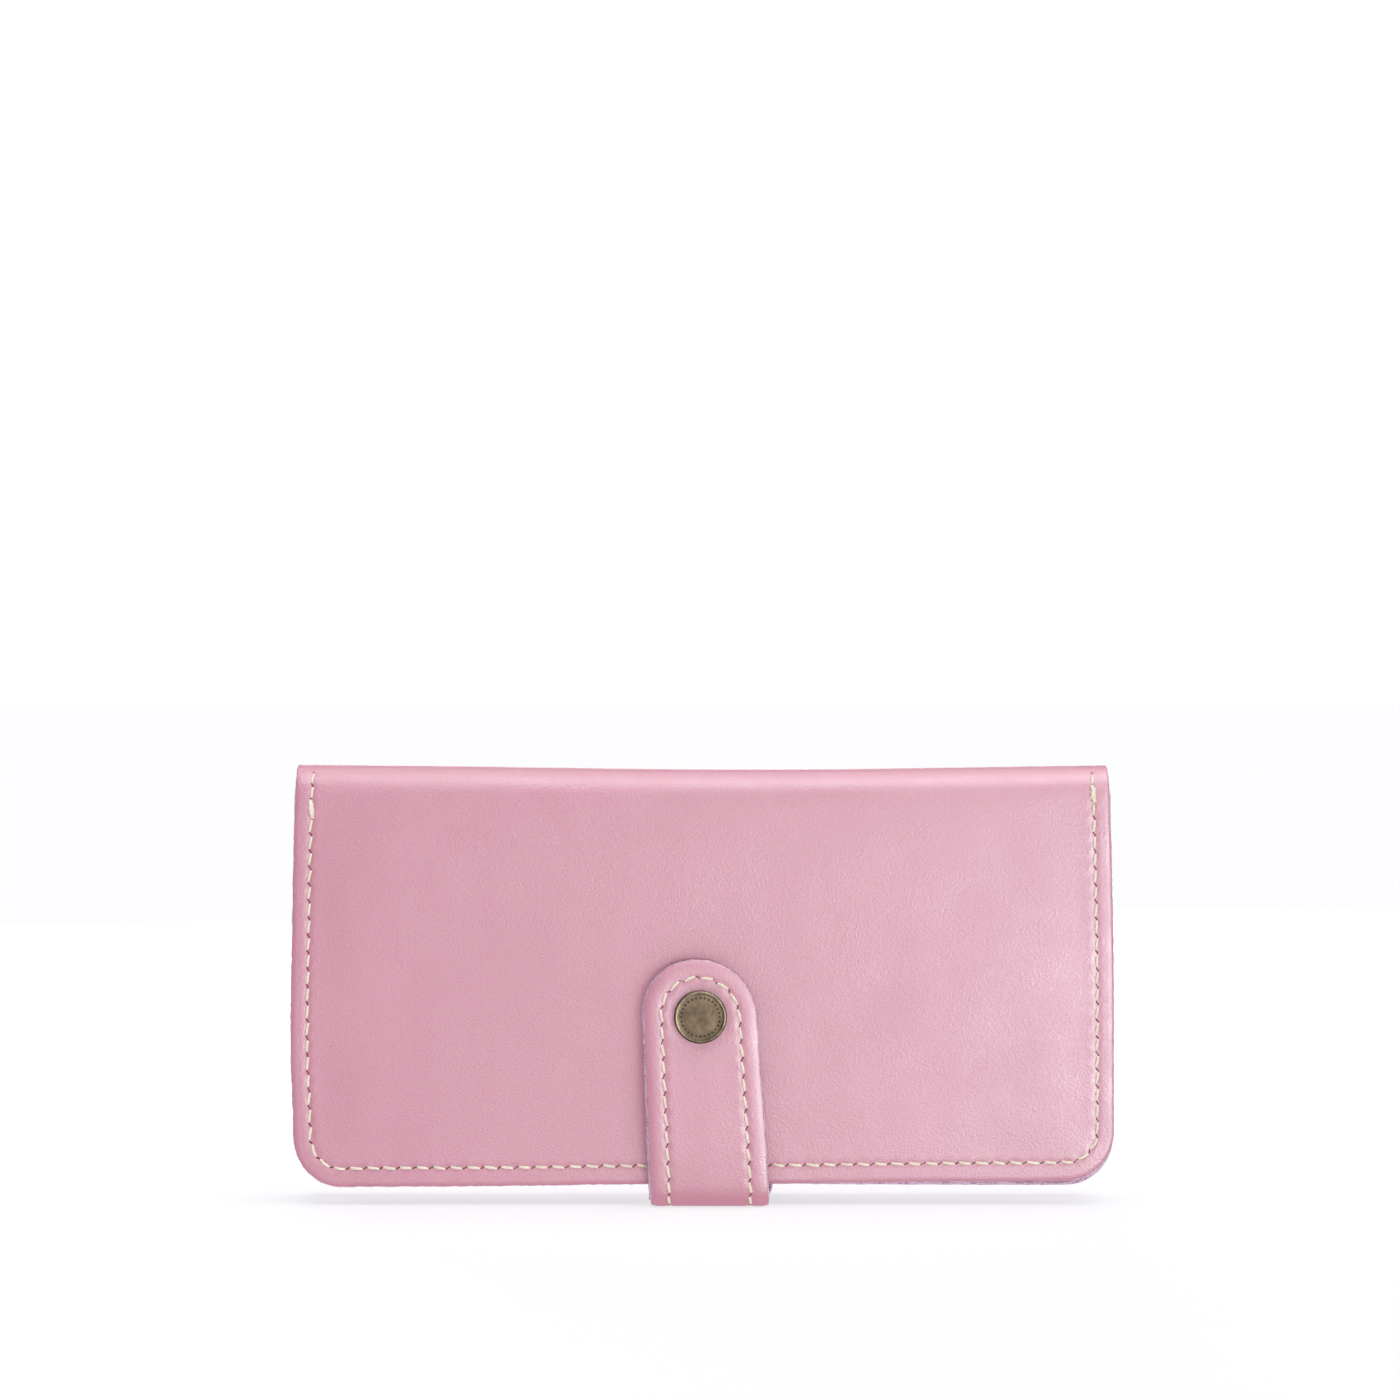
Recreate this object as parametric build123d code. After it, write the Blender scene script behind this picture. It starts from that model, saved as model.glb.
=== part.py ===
"""A long snap wallet, standing on the loop of its closing strap.

The frame is +Z up and +X to the wallet's right, with the front cover facing -Y. The origin is on the
underside of the strap loop, below the fold. All sizes are in millimetres.

Each half of the wallet is drawn in its own flat frame, whose origin is the centre of the fold's arc: the
half hangs down from there, along -Z. front_frame() and back_frame() then lean the two halves apart.
"""

from build123d import *

import math
import os

# Driving dimensions of the outer shell
WIDTH = 195.0
TOP_Z = 104.6
EDGE_Z = 4.8  # the covers' bottom edges hang clear of the surface, above the strap loop
SHELL_T = 1.8
FOLD_R = 6.2  # outer radius of the fold along the top
FLARE = 2.3  # degrees that each cover leans outwards below the fold
CORNER_R = 11.5
CREST = 45.0  # degrees each side of the top that move as the fold's crest, with a crease at each end
CREASE = 0.5  # degrees left open at each crease

# Thinner leather and cloth inside
LINING_T = 0.4
PANEL_T = 1.2
BILL_T = 1.0
TIER_T = 0.9
TIERS = 4
TIER_STEP = 11.0
FIRST_MOUTH = 46.0  # height of the lowest card mouth above the covers' bottom edge
TOP_MOUTH = 1.0  # the front pocket's mouth, below the centre of the fold
BILL_MOUTH = 3.5

# Seams
SEAM_INSET = 4.0
THREAD_W = 0.6
THREAD_H = 0.3

# The raised middle of the front inner panel, which leaves room for the zip and the coins
RAISE = 2.8
RAISE_MARGIN = 7.0
RAISE_RUN = 3.5

# Zip
ZIP_DROP = 22.0  # from the centre of the fold down to the line of the teeth
WINDOW_L, WINDOW_H = 168.0, 9.0
TAPE_L = 172.0
TAPE_T, TAPE_W, TAPE_GAP = 0.5, 9.0, 0.9
TOOTH_PITCH, TOOTH_W, TOOTH_T = 2.0, 0.9, 2.2
CHAIN_START, CHAIN_END = -76.0, 76.0
TOP_STOP_X, BOTTOM_STOP_X = -81.0, 77.6
SLIDER_X = -75.0
SLIDER_L, SLIDER_W, WING_T = 10.0, 7.4, 0.9
WING_CORNER, FLANGE_W = 2.0, 0.8
BRIDGE_L = 1.2
PULL_L, PULL_T, PIVOT_R = 17.0, 1.0, 0.9
PULL_TOP_R, PULL_END_R, PULL_HOLE_R = 2.3, 3.3, 1.5
PIVOT_HEAD_R, PULL_PLAY = 1.7, 0.15
WINDOW_SEAM = 2.4  # from the window's edge to the line of thread round it
TOOTH_REACH, TOOTH_GRIP, TOOTH_HEAD = 0.7, 1.9, 0.8
STOP_X, STOP_Y, STOP_Z = 1.6, 2.0, 1.8
CLAMP_X, CLAMP_Y, CLAMP_Z = 2.2, 2.2, 4.4

# Closing strap and its snap
STRAP_T, STRAP_LINING_T = 1.4, 1.0
STRAP_TIP_W, STRAP_LOOP_W = 26.4, 27.6
STRAP_GAP = 3.3  # between the front cover and the strap, which is the height of the closed snap
ANCHOR_GAP = 0.35
LOOP_R = 4.5
SNAP_X, SNAP_Z = -0.5, 45.1
TIP_Z = 58.4
LOOP_X = 1.7  # the strap runs slightly askew, so its loop sits to one side of the snap
ANCHOR_X, ANCHOR_Z = 3.6, 44.0
THUMB_R = 7.5
RUN_FIT = 0.05  # radial room round the snap's post and in its hole
CAP_R = 6.25
POST_R = 1.9
POST_FLANGE_R = 4.8
FLANGE_T = 0.5
SOCKET_R, SOCKET_H, SOCKET_FLOOR = 5.2, 2.75, 0.6
KNOB_R, NECK_R = 2.9, 2.55
CAVITY_R, GROOVE_R = 3.15, 3.75
SPRING_R, SPRING_WIRE, SPRING_SPLIT = 3.35, 0.33, 1.2
GROOVE_MIDDLE, GROOVE_HALF = 1.2, 0.45  # above the socket's floor
FLARED_R, FLARED_H, BORE_R = 2.7, 0.35, 1.3  # the cap's post, where it is flared in the socket
EYELET_R, EYELET_BORE_R = 1.25, 0.8
STUD_TOP_GAP = 0.5  # between the stud's head and the socket's floor
CAP_RIM, CAP_CROWN = 1.45, 1.5
CAP_DOTS, DOT_RING_R, DOT_R, DOT_DEPTH = 28, 4.75, 0.24, 0.14

# Derived places
SIN, COS = math.sin(math.radians(FLARE)), math.cos(math.radians(FLARE))
FOLD_Z = TOP_Z - FOLD_R
PANEL_L = (FOLD_Z - EDGE_Z) / COS
COVER_IN = FOLD_R - SHELL_T  # from the fold's centre to a cover's inner face
STRAP_ALL = STRAP_T + STRAP_LINING_T
STRAP_OUT = FOLD_R + STRAP_GAP + STRAP_ALL
ANCHOR_OUT = FOLD_R + ANCHOR_GAP + STRAP_ALL
RIM_IN = -COVER_IN + LINING_T  # where the front inner panel starts, in the front frame
TAPE_Y = RIM_IN + RAISE  # the panel's underside over the zip, where the tapes are sewn
ZIP_Y = TAPE_Y - TAPE_T / 2
CHANNEL = TOOTH_T / 2 + 0.1  # from the middle of the teeth to each of the slider's wings
PIVOT_TOP = ZIP_Y + CHANNEL + WING_T
STRAP_IN = -STRAP_OUT + STRAP_ALL  # depth of the strap's inner face, in the front frame
STUD_TOP = STRAP_IN + SOCKET_FLOOR + STUD_TOP_GAP


def front_frame():
    return Pos(0, 0, FOLD_Z) * Rot(-FLARE, 0, 0)


def back_frame():
    return Pos(0, 0, FOLD_Z) * Rot(FLARE, 0, 0)


def drop_for(height, depth):
    """How far down a half's flat frame a point is, from its height above the floor and its depth
    outwards from the fold's centre."""
    return (FOLD_Z + depth * SIN - height) / COS


SNAP_DROP = drop_for(SNAP_Z, STRAP_OUT)
TIP_DROP = drop_for(TIP_Z, STRAP_OUT)
FRONT_BEND_DROP = drop_for(LOOP_R, STRAP_OUT - LOOP_R)
BACK_BEND_DROP = drop_for(LOOP_R, ANCHOR_OUT - LOOP_R)


def slab(sketch, near, far):
    """A sketch drawn in X and Z, made solid between two depths along Y."""
    return extrude(Plane.XZ.offset(-far) * sketch, far - near)


def rounded_outline(top, inset=0.0):
    """A cover's outline below a given drop, with its two bottom corners rounded."""
    width, height = WIDTH - 2 * inset, PANEL_L - top - inset
    sketch = Pos(0, -top - height / 2) * Rectangle(width, height)
    return fillet(sketch.vertices().group_by(Axis.Y)[0], CORNER_R - inset)


def seam_band(top):
    """The U-shaped line of thread that follows a cover's sides and bottom."""
    outer = rounded_outline(top, SEAM_INSET - THREAD_W / 2)
    return outer - rounded_outline(top, SEAM_INSET + THREAD_W / 2)


def between_drops(high, low):
    """A wide rectangle that keeps only the part of an outline between two drops."""
    return Pos(0, -(high + low) / 2) * Rectangle(2 * WIDTH, low - high)


def disc(x, drop, radius, near, far):
    return Pos(x, (near + far) / 2, -drop) * Rot(90, 0, 0) * Cylinder(radius, far - near)


def turned(x, drop, points):
    """A turned part on the snap's axis, from its half section as (radius, depth) points."""
    section = Plane.XY * make_face(Polyline(*points, close=True))
    return Pos(x, 0, -drop) * revolve(section, Axis.Y)


def arc_strip(centre_y, centre_z, outer_r, inner_r, start, sweep, width):
    """A strip of leather bent round a line along X."""
    outer = CenterArc((centre_y, centre_z), outer_r, start, sweep)
    inner = CenterArc((centre_y, centre_z), inner_r, start, sweep)
    ends = Line(outer @ 0, inner @ 0) + Line(outer @ 1, inner @ 1)
    return extrude(Plane.YZ * make_face(outer + inner + ends), width / 2, both=True)


# ---- the outer shell ----

def fold_arc(start, end):
    """The fold's leather between two angles, from the back (0) over the top (90) to the front (180)."""
    return arc_strip(0, FOLD_Z, FOLD_R, COVER_IN, start, end - start, WIDTH)


def front_cover():
    cover = slab(rounded_outline(0), -FOLD_R, -COVER_IN)
    cover -= disc(SNAP_X, SNAP_DROP, POST_R + RUN_FIT, -FOLD_R, -COVER_IN)
    cover -= disc(SNAP_X, SNAP_DROP, POST_FLANGE_R, -COVER_IN - FLANGE_T, -COVER_IN)
    return front_frame() * cover + fold_arc(90 + CREST + CREASE, 180 - FLARE)


def back_cover():
    cover = back_frame() * slab(rounded_outline(0), COVER_IN, FOLD_R)
    return cover + fold_arc(FLARE, 90 - CREST - CREASE)


def fold_crest():
    """The top of the fold, between the two creases where the leather bends as the wallet opens."""
    return fold_arc(90 - CREST, 90 + CREST)


# ---- the front half's inside ----

def coin_lining():
    return front_frame() * slab(rounded_outline(TOP_MOUTH), -COVER_IN, RIM_IN)


def raised_block(base, height):
    """The frustum that the panel's raised middle follows, from a depth, and that high."""
    wide = WIDTH - 2 * RAISE_MARGIN
    tall = PANEL_L - TOP_MOUTH - 2 * RAISE_MARGIN
    middle = -(PANEL_L + TOP_MOUTH) / 2
    foot = Plane.XZ.offset(-base) * Pos(0, middle) * Rectangle(wide, tall)
    crown = Rectangle(wide - 2 * RAISE_RUN, tall - 2 * RAISE_RUN)
    return loft([foot, Plane.XZ.offset(-base - height) * Pos(0, middle) * crown])


def zip_panel():
    panel = slab(rounded_outline(TOP_MOUTH), RIM_IN, RIM_IN + PANEL_T)
    panel += raised_block(RIM_IN + PANEL_T, RAISE)
    panel -= raised_block(RIM_IN, RAISE)
    window = Pos(0, -ZIP_DROP) * SlotOverall(WINDOW_L, WINDOW_H)
    panel -= slab(window, RIM_IN, RIM_IN + PANEL_T + 2 * RAISE)
    return front_frame() * panel


def zip_tape(side):
    centre = -ZIP_DROP + side * (TAPE_GAP + TAPE_W / 2)
    tape = Pos(0, centre) * Rectangle(TAPE_L, TAPE_W)
    return front_frame() * slab(tape, TAPE_Y - TAPE_T, TAPE_Y)


def zip_teeth(side):
    """One tape's teeth. Each clamps the tape's edge and reaches past the middle, between two of the
    other tape's teeth."""
    tall = TOOTH_REACH + TOOTH_GRIP
    tooth = Box(TOOTH_W, TOOTH_T, tall)
    tooth -= Pos(0, 0, side * TOOTH_HEAD) * Box(TOOTH_W, TAPE_T, tall)
    first = CHAIN_START + (0 if side > 0 else TOOTH_PITCH / 2)
    count = int((CHAIN_END - first) / TOOTH_PITCH)
    height = -ZIP_DROP + side * (TOOTH_GRIP - TOOTH_REACH) / 2
    row = [Pos(first + n * TOOTH_PITCH, ZIP_Y, height) * tooth for n in range(count)]
    return front_frame() * Compound(children=row)


def tape_slot(x, side, length):
    """The room that one tape takes in a stop at x."""
    centre = -ZIP_DROP + side * (TAPE_GAP + TAPE_W / 2)
    return Pos(x, ZIP_Y, centre) * Box(length, TAPE_T, TAPE_W)


def zip_top_stops():
    """A stop clamped on the edge of each tape, beyond the slider."""
    pair = []
    for side in (1, -1):
        height = -ZIP_DROP + side * (TAPE_GAP + STOP_Z / 3)
        stop = Pos(TOP_STOP_X, ZIP_Y, height) * Box(STOP_X, STOP_Y, STOP_Z)
        pair.append(stop - tape_slot(TOP_STOP_X, side, STOP_X))
    return front_frame() * Compound(children=pair)


def zip_bottom_stop():
    """One clamp that joins the two tapes at the closed end."""
    clamp = Pos(BOTTOM_STOP_X, ZIP_Y, -ZIP_DROP) * Box(CLAMP_X, CLAMP_Y, CLAMP_Z)
    for side in (1, -1):
        clamp -= tape_slot(BOTTOM_STOP_X, side, CLAMP_X)
    return front_frame() * clamp


def zip_slider():
    wing = fillet(Rectangle(SLIDER_L, SLIDER_W).vertices(), WING_CORNER)
    wing = Pos(SLIDER_X, -ZIP_DROP) * wing
    body = slab(wing, ZIP_Y + CHANNEL, PIVOT_TOP)
    body += slab(wing, ZIP_Y - CHANNEL - WING_T, ZIP_Y - CHANNEL)
    low = TAPE_T / 2 + 0.1  # the flanges leave this much for the tape, which passes between them
    flange = Box(SLIDER_L - 2 * WING_CORNER, CHANNEL - low, FLANGE_W)
    for side in (1, -1):
        for face in (1, -1):
            middle = ZIP_Y + face * (CHANNEL + low) / 2
            edge = -ZIP_DROP + side * (SLIDER_W - FLANGE_W) / 2
            body += Pos(SLIDER_X, middle, edge) * flange
    bridge = Box(BRIDGE_L, 2 * CHANNEL, 2 * TAPE_GAP - 0.3)  # parts the two rows of teeth
    body += Pos(SLIDER_X - (SLIDER_L - BRIDGE_L) / 2, ZIP_Y, -ZIP_DROP) * bridge
    head = PIVOT_TOP + PULL_T + 2 * PULL_PLAY
    body += disc(SLIDER_X, ZIP_DROP, PIVOT_R, PIVOT_TOP, head)
    body += disc(SLIDER_X, ZIP_DROP, PIVOT_HEAD_R, head, head + 0.4)
    return front_frame() * body


def zip_pull():
    """A flat pull that hangs from the slider's pivot and widens towards its rounded end."""
    end = PULL_L - PULL_END_R - 0.3
    plate = make_hull((Circle(PULL_TOP_R) + Pos(0, -end) * Circle(PULL_END_R)).edges())
    plate -= Circle(PIVOT_R + 0.06)
    plate -= Pos(0, -end) * Circle(PULL_HOLE_R)
    low = PIVOT_TOP + PULL_PLAY
    pull = slab(Pos(SLIDER_X, -ZIP_DROP) * plate, low, low + PULL_T)
    return front_frame() * pull


def zip_window_thread():
    more, less = 2 * WINDOW_SEAM + THREAD_W, 2 * WINDOW_SEAM - THREAD_W
    outer = SlotOverall(WINDOW_L + more, WINDOW_H + more)
    inner = SlotOverall(WINDOW_L + less, WINDOW_H + less)
    top = TAPE_Y + PANEL_T
    return front_frame() * slab(Pos(0, -ZIP_DROP) * (outer - inner), top, top + THREAD_H)


def front_seam_thread():
    outside = slab(seam_band(0), -FOLD_R - THREAD_H, -FOLD_R)
    rim = RIM_IN + PANEL_T
    inside = slab(seam_band(TOP_MOUTH), rim, rim + THREAD_H)
    return front_frame() * Compound(children=[outside, inside])


# ---- the back half's inside ----

def tier_drop(n):
    """The drop of the mouth of card tier n, counted from the lowest, which lies nearest the front."""
    return PANEL_L - FIRST_MOUTH - (n - 1) * TIER_STEP


def tier_face(n):
    """The depth of the inner face of card tier n, in the back frame."""
    return COVER_IN - BILL_T - (TIERS - n + 1) * TIER_T


def bill_panel():
    return back_frame() * slab(rounded_outline(BILL_MOUTH), COVER_IN - BILL_T, COVER_IN)


def card_tier(n):
    """A full-width strip whose top edge is the mouth of two card slots, side by side."""
    outline = rounded_outline(tier_drop(n))
    notches = [Pos(side * WIDTH / 4, -tier_drop(n)) * Circle(THUMB_R) for side in (1, -1)]
    outline = outline - notches[0] - notches[1]
    return back_frame() * slab(outline, tier_face(n), tier_face(n) + TIER_T)


def back_steps():
    """(high drop, low drop, inner face) of each level of the back half's inside, from the mouth of the
    note pocket down to the lowest tier."""
    faces = [COVER_IN - BILL_T] + [tier_face(n) for n in range(TIERS, 0, -1)]
    mouths = [BILL_MOUTH] + [tier_drop(n) for n in range(TIERS, 0, -1)] + [PANEL_L]
    return [(mouths[i], mouths[i + 1], faces[i]) for i in range(len(faces))]


def back_seam_thread():
    runs = [slab(seam_band(0), FOLD_R, FOLD_R + THREAD_H)]
    for high, low, face in back_steps():
        band = seam_band(0) & between_drops(high, low - 0.05)
        runs.append(slab(band, face - THREAD_H, face))
    return back_frame() * Compound(children=runs)


def card_divider_thread():
    """The middle seam that parts the tiers into a left and a right column."""
    runs = []
    for high, low, face in back_steps()[1:]:
        low = min(low, PANEL_L - SEAM_INSET - 1)
        line = Pos(0, -(high + low) / 2) * Rectangle(THREAD_W, low - high - 0.1)
        runs.append(slab(line, face - THREAD_H, face))
    return back_frame() * Compound(children=runs)


# ---- the closing strap ----

def flap_outline(inset=0.0):
    """The strap's free end: a slightly tapered strip with a round tip, which leans towards the snap."""
    tip_r = STRAP_TIP_W / 2 - inset
    loop_r = STRAP_LOOP_W / 2 - inset
    centre = TIP_DROP + STRAP_TIP_W / 2
    lean = (LOOP_X - SNAP_X) / (FRONT_BEND_DROP - SNAP_DROP)
    tip_x = SNAP_X + (centre - SNAP_DROP) * lean
    left, right = (tip_x - tip_r, -centre), (tip_x + tip_r, -centre)
    sides = Polyline(
        left, (LOOP_X - loop_r, -FRONT_BEND_DROP), (LOOP_X + loop_r, -FRONT_BEND_DROP), right
    )
    return make_face(sides + ThreePointArc(right, (tip_x, tip_r - centre), left))


def anchor_outline(inset=0.0):
    """The strap's sewn end on the back cover, square across the top."""
    half = STRAP_LOOP_W / 2 - inset
    top = drop_for(ANCHOR_Z, ANCHOR_OUT) + inset
    return Polygon(
        (LOOP_X - half, -BACK_BEND_DROP),
        (LOOP_X + half, -BACK_BEND_DROP),
        (ANCHOR_X + half, -top),
        (ANCHOR_X - half, -top),
        align=None,
    )


def bend_centre(front):
    """The line that the strap bends round, as (y, z), at the front or the back of the loop."""
    depth = (STRAP_OUT if front else ANCHOR_OUT) - LOOP_R
    drop = FRONT_BEND_DROP if front else BACK_BEND_DROP
    outwards = depth * COS + drop * SIN
    return (-outwards if front else outwards), LOOP_R


def strap_layer(part, outer, inner):
    """One layer of one part of the strap, between two depths below its outer face."""
    if part == "flap":
        return front_frame() * slab(flap_outline(), -STRAP_OUT + outer, -STRAP_OUT + inner)
    if part == "bend":
        y, z = bend_centre(True)
        strip = arc_strip(y, z, LOOP_R - outer, LOOP_R - inner, 180 - FLARE, 90 + FLARE, STRAP_LOOP_W)
        return Pos(LOOP_X, 0, 0) * strip
    front_y, back = bend_centre(True)[0], bend_centre(False)
    length = back[0] - front_y
    under = Pos(LOOP_X, front_y + length / 2, (outer + inner) / 2) * Box(
        STRAP_LOOP_W, length, inner - outer
    )
    turn = arc_strip(*back, LOOP_R - outer, LOOP_R - inner, 270, 90 + FLARE, STRAP_LOOP_W)
    leg = back_frame() * slab(anchor_outline(), ANCHOR_OUT - inner, ANCHOR_OUT - outer)
    return under + Pos(LOOP_X, 0, 0) * turn + leg


def strap_flap(outer, inner):
    flap = strap_layer("flap", outer, inner)
    hole = front_frame() * disc(SNAP_X, SNAP_DROP, POST_R + RUN_FIT, -STRAP_OUT, STRAP_IN)
    return flap - hole


def strap_flap_thread():
    band = flap_outline(SEAM_INSET - THREAD_W / 2) - flap_outline(SEAM_INSET + THREAD_W / 2)
    outside = slab(band, -STRAP_OUT - THREAD_H, -STRAP_OUT)
    inside = slab(band, STRAP_IN, STRAP_IN + THREAD_H)
    return front_frame() * Compound(children=[outside, inside])


def strap_anchor_thread():
    """The line that sews the strap to the back cover."""
    band = anchor_outline(SEAM_INSET - THREAD_W / 2) - anchor_outline(SEAM_INSET + THREAD_W / 2)
    return back_frame() * slab(band, ANCHOR_OUT, ANCHOR_OUT + THREAD_H)


# ---- the snap ----

def snap_cap():
    """The domed cap with its rolled rim and its post, which is flared inside the socket. A ring of
    shallow dots is pressed into its face."""
    face = -STRAP_OUT
    floor = STRAP_IN + SOCKET_FLOOR
    half = [
        (0, face - CAP_CROWN),
        (2.6, face - CAP_CROWN + 0.03),
        (CAP_R - 0.95, face - CAP_RIM + 0.12),
        (CAP_R - 0.75, face - CAP_RIM),
        (CAP_R - 0.42, face - CAP_RIM + 0.02),
        (CAP_R - 0.12, face - CAP_RIM + 0.3),
        (CAP_R, face - 0.62),
        (CAP_R - 0.06, face - 0.25),
        (CAP_R - 0.35, face),
        (POST_R, face),
        (POST_R, floor),
        (FLARED_R, floor),
        (FLARED_R, floor + FLARED_H),
        (BORE_R, floor + FLARED_H),
        (BORE_R, face - 0.4),
        (0, face - 0.4),
    ]
    cap = turned(SNAP_X, SNAP_DROP, half)
    dot = Rot(90, 0, 0) * Cylinder(DOT_R, 2 * DOT_DEPTH)
    for n in range(CAP_DOTS):
        turn = math.radians(360 * n / CAP_DOTS)
        x, z = DOT_RING_R * math.cos(turn), DOT_RING_R * math.sin(turn)
        cap -= Pos(SNAP_X + x, face - CAP_CROWN + 0.1, -SNAP_DROP + z) * dot
    return front_frame() * cap


def snap_socket():
    """The ring on the strap's inner face that grips the stud, with a groove for its spring."""
    base, lip = STRAP_IN, STRAP_IN + SOCKET_H
    middle = base + SOCKET_FLOOR + GROOVE_MIDDLE
    half = [
        (POST_R + RUN_FIT, base),
        (SOCKET_R - 0.5, base),
        (SOCKET_R, base + 0.5),
        (SOCKET_R, lip - 0.6),
        (SOCKET_R - 0.6, lip),
        (CAVITY_R, lip),
        (CAVITY_R, middle + GROOVE_HALF),
        (GROOVE_R, middle + GROOVE_HALF),
        (GROOVE_R, middle - GROOVE_HALF),
        (CAVITY_R, middle - GROOVE_HALF),
        (CAVITY_R, base + SOCKET_FLOOR),
        (POST_R + RUN_FIT, base + SOCKET_FLOOR),
    ]
    return front_frame() * turned(SNAP_X, SNAP_DROP, half)


def snap_spring():
    """The split wire ring that closes behind the stud's head."""
    depth = STRAP_IN + SOCKET_FLOOR + GROOVE_MIDDLE
    ring = Rot(90, 0, 0) * Torus(SPRING_R, SPRING_WIRE)
    ring -= Pos(0, 0, -SPRING_R) * Box(SPRING_SPLIT, 2, 2)
    return front_frame() * Pos(SNAP_X, depth, -SNAP_DROP) * ring


def snap_stud():
    """The stud on the front cover, with a rounded head over a narrower neck."""
    face = -FOLD_R
    half = [
        (BORE_R, face),
        (POST_FLANGE_R, face),
        (POST_FLANGE_R, face - 0.25),
        (POST_FLANGE_R - 0.3, face - FLANGE_T),
        (NECK_R, face - FLANGE_T),
        (NECK_R, face - 1.1),
        (KNOB_R, face - 1.5),
        (KNOB_R, STUD_TOP + 0.4),
        (KNOB_R - 0.4, STUD_TOP),
        (BORE_R, STUD_TOP),
    ]
    return front_frame() * turned(SNAP_X, SNAP_DROP, half)


def snap_post():
    """The eyelet that rivets the stud to the cover. Its flange is pressed into the leather."""
    back = -COVER_IN
    half = [
        (EYELET_BORE_R, back),
        (POST_FLANGE_R - RUN_FIT, back),
        (POST_FLANGE_R - RUN_FIT, back - FLANGE_T),
        (EYELET_R, back - FLANGE_T),
        (EYELET_R, STUD_TOP),
        (EYELET_BORE_R, STUD_TOP),
    ]
    return front_frame() * turned(SNAP_X, SNAP_DROP, half)


def parts():
    """Every node's name and shape."""
    made = {
        "front_cover": front_cover(),
        "back_cover": back_cover(),
        "fold_crest": fold_crest(),
        "coin_lining": coin_lining(),
        "zip_panel": zip_panel(),
        "zip_tape_upper": zip_tape(1),
        "zip_tape_lower": zip_tape(-1),
        "zip_teeth_upper": zip_teeth(1),
        "zip_teeth_lower": zip_teeth(-1),
        "zip_top_stops": zip_top_stops(),
        "zip_bottom_stop": zip_bottom_stop(),
        "zip_slider": zip_slider(),
        "zip_pull": zip_pull(),
        "zip_window_thread": zip_window_thread(),
        "front_seam_thread": front_seam_thread(),
        "bill_panel": bill_panel(),
        "back_seam_thread": back_seam_thread(),
        "card_divider_thread": card_divider_thread(),
        "strap_flap": strap_flap(0, STRAP_T),
        "strap_flap_lining": strap_flap(STRAP_T, STRAP_ALL),
        "strap_bend": strap_layer("bend", 0, STRAP_T),
        "strap_bend_lining": strap_layer("bend", STRAP_T, STRAP_ALL),
        "strap_anchor": strap_layer("anchor", 0, STRAP_T),
        "strap_anchor_lining": strap_layer("anchor", STRAP_T, STRAP_ALL),
        "strap_flap_thread": strap_flap_thread(),
        "strap_anchor_thread": strap_anchor_thread(),
        "snap_cap": snap_cap(),
        "snap_socket": snap_socket(),
        "snap_spring": snap_spring(),
        "snap_stud": snap_stud(),
        "snap_post": snap_post(),
    }
    for n in range(1, TIERS + 1):
        made[f"card_tier_{n}"] = card_tier(n)
    return made


def main():
    os.makedirs("parts", exist_ok=True)
    for name, shape in parts().items():
        export_step(shape, f"parts/{name}.step")
    crease = math.radians(CREST)
    hinge = FOLD_R * math.sin(crease), FOLD_Z + FOLD_R * math.cos(crease)
    pivot = (front_frame() * Pos(SLIDER_X, PIVOT_TOP, -ZIP_DROP)).position
    print("fold hinge", hinge, "zip pivot", pivot, "strap bend", bend_centre(True))


main()
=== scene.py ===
"""The looks of the long wallet: leather, thread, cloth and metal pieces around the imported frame.

Lengths are in millimetres and become metres where a mesh is made. Each half of the wallet has a flat frame:
depth is measured outwards from the centre of the fold's arc, and drop down the half. On a sheet, v runs
along its outer face from its near end, which is the top of the fold for the shell, and x across it.
"""

import math
import random

import bmesh
import bpy
import numpy as np
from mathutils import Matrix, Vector
from mathutils.geometry import delaunay_2d_cdt

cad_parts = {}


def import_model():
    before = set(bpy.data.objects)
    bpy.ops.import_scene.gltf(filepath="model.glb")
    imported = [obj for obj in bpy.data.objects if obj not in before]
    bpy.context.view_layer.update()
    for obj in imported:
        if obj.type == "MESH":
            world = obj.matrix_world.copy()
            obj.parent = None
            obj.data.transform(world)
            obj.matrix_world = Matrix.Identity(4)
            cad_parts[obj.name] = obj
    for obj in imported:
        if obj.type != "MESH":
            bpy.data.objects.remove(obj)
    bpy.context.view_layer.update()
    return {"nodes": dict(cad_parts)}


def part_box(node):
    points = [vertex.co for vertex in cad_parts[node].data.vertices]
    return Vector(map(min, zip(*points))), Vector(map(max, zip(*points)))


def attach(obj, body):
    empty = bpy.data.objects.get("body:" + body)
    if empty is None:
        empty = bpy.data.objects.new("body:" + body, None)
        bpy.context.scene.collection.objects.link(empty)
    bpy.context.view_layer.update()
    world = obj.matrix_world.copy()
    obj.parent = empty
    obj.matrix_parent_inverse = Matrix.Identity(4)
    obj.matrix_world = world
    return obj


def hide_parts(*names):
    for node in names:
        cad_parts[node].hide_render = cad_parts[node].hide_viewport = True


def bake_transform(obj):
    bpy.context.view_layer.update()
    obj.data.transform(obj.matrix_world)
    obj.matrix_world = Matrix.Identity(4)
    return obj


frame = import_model()

MM = 0.001


def corner(node, which, axis):
    """One coordinate of a CAD node's box, in millimetres. which is 0 for low and 1 for high."""
    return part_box(node)[which][axis] / MM


# ---- the driving sizes ----

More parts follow.
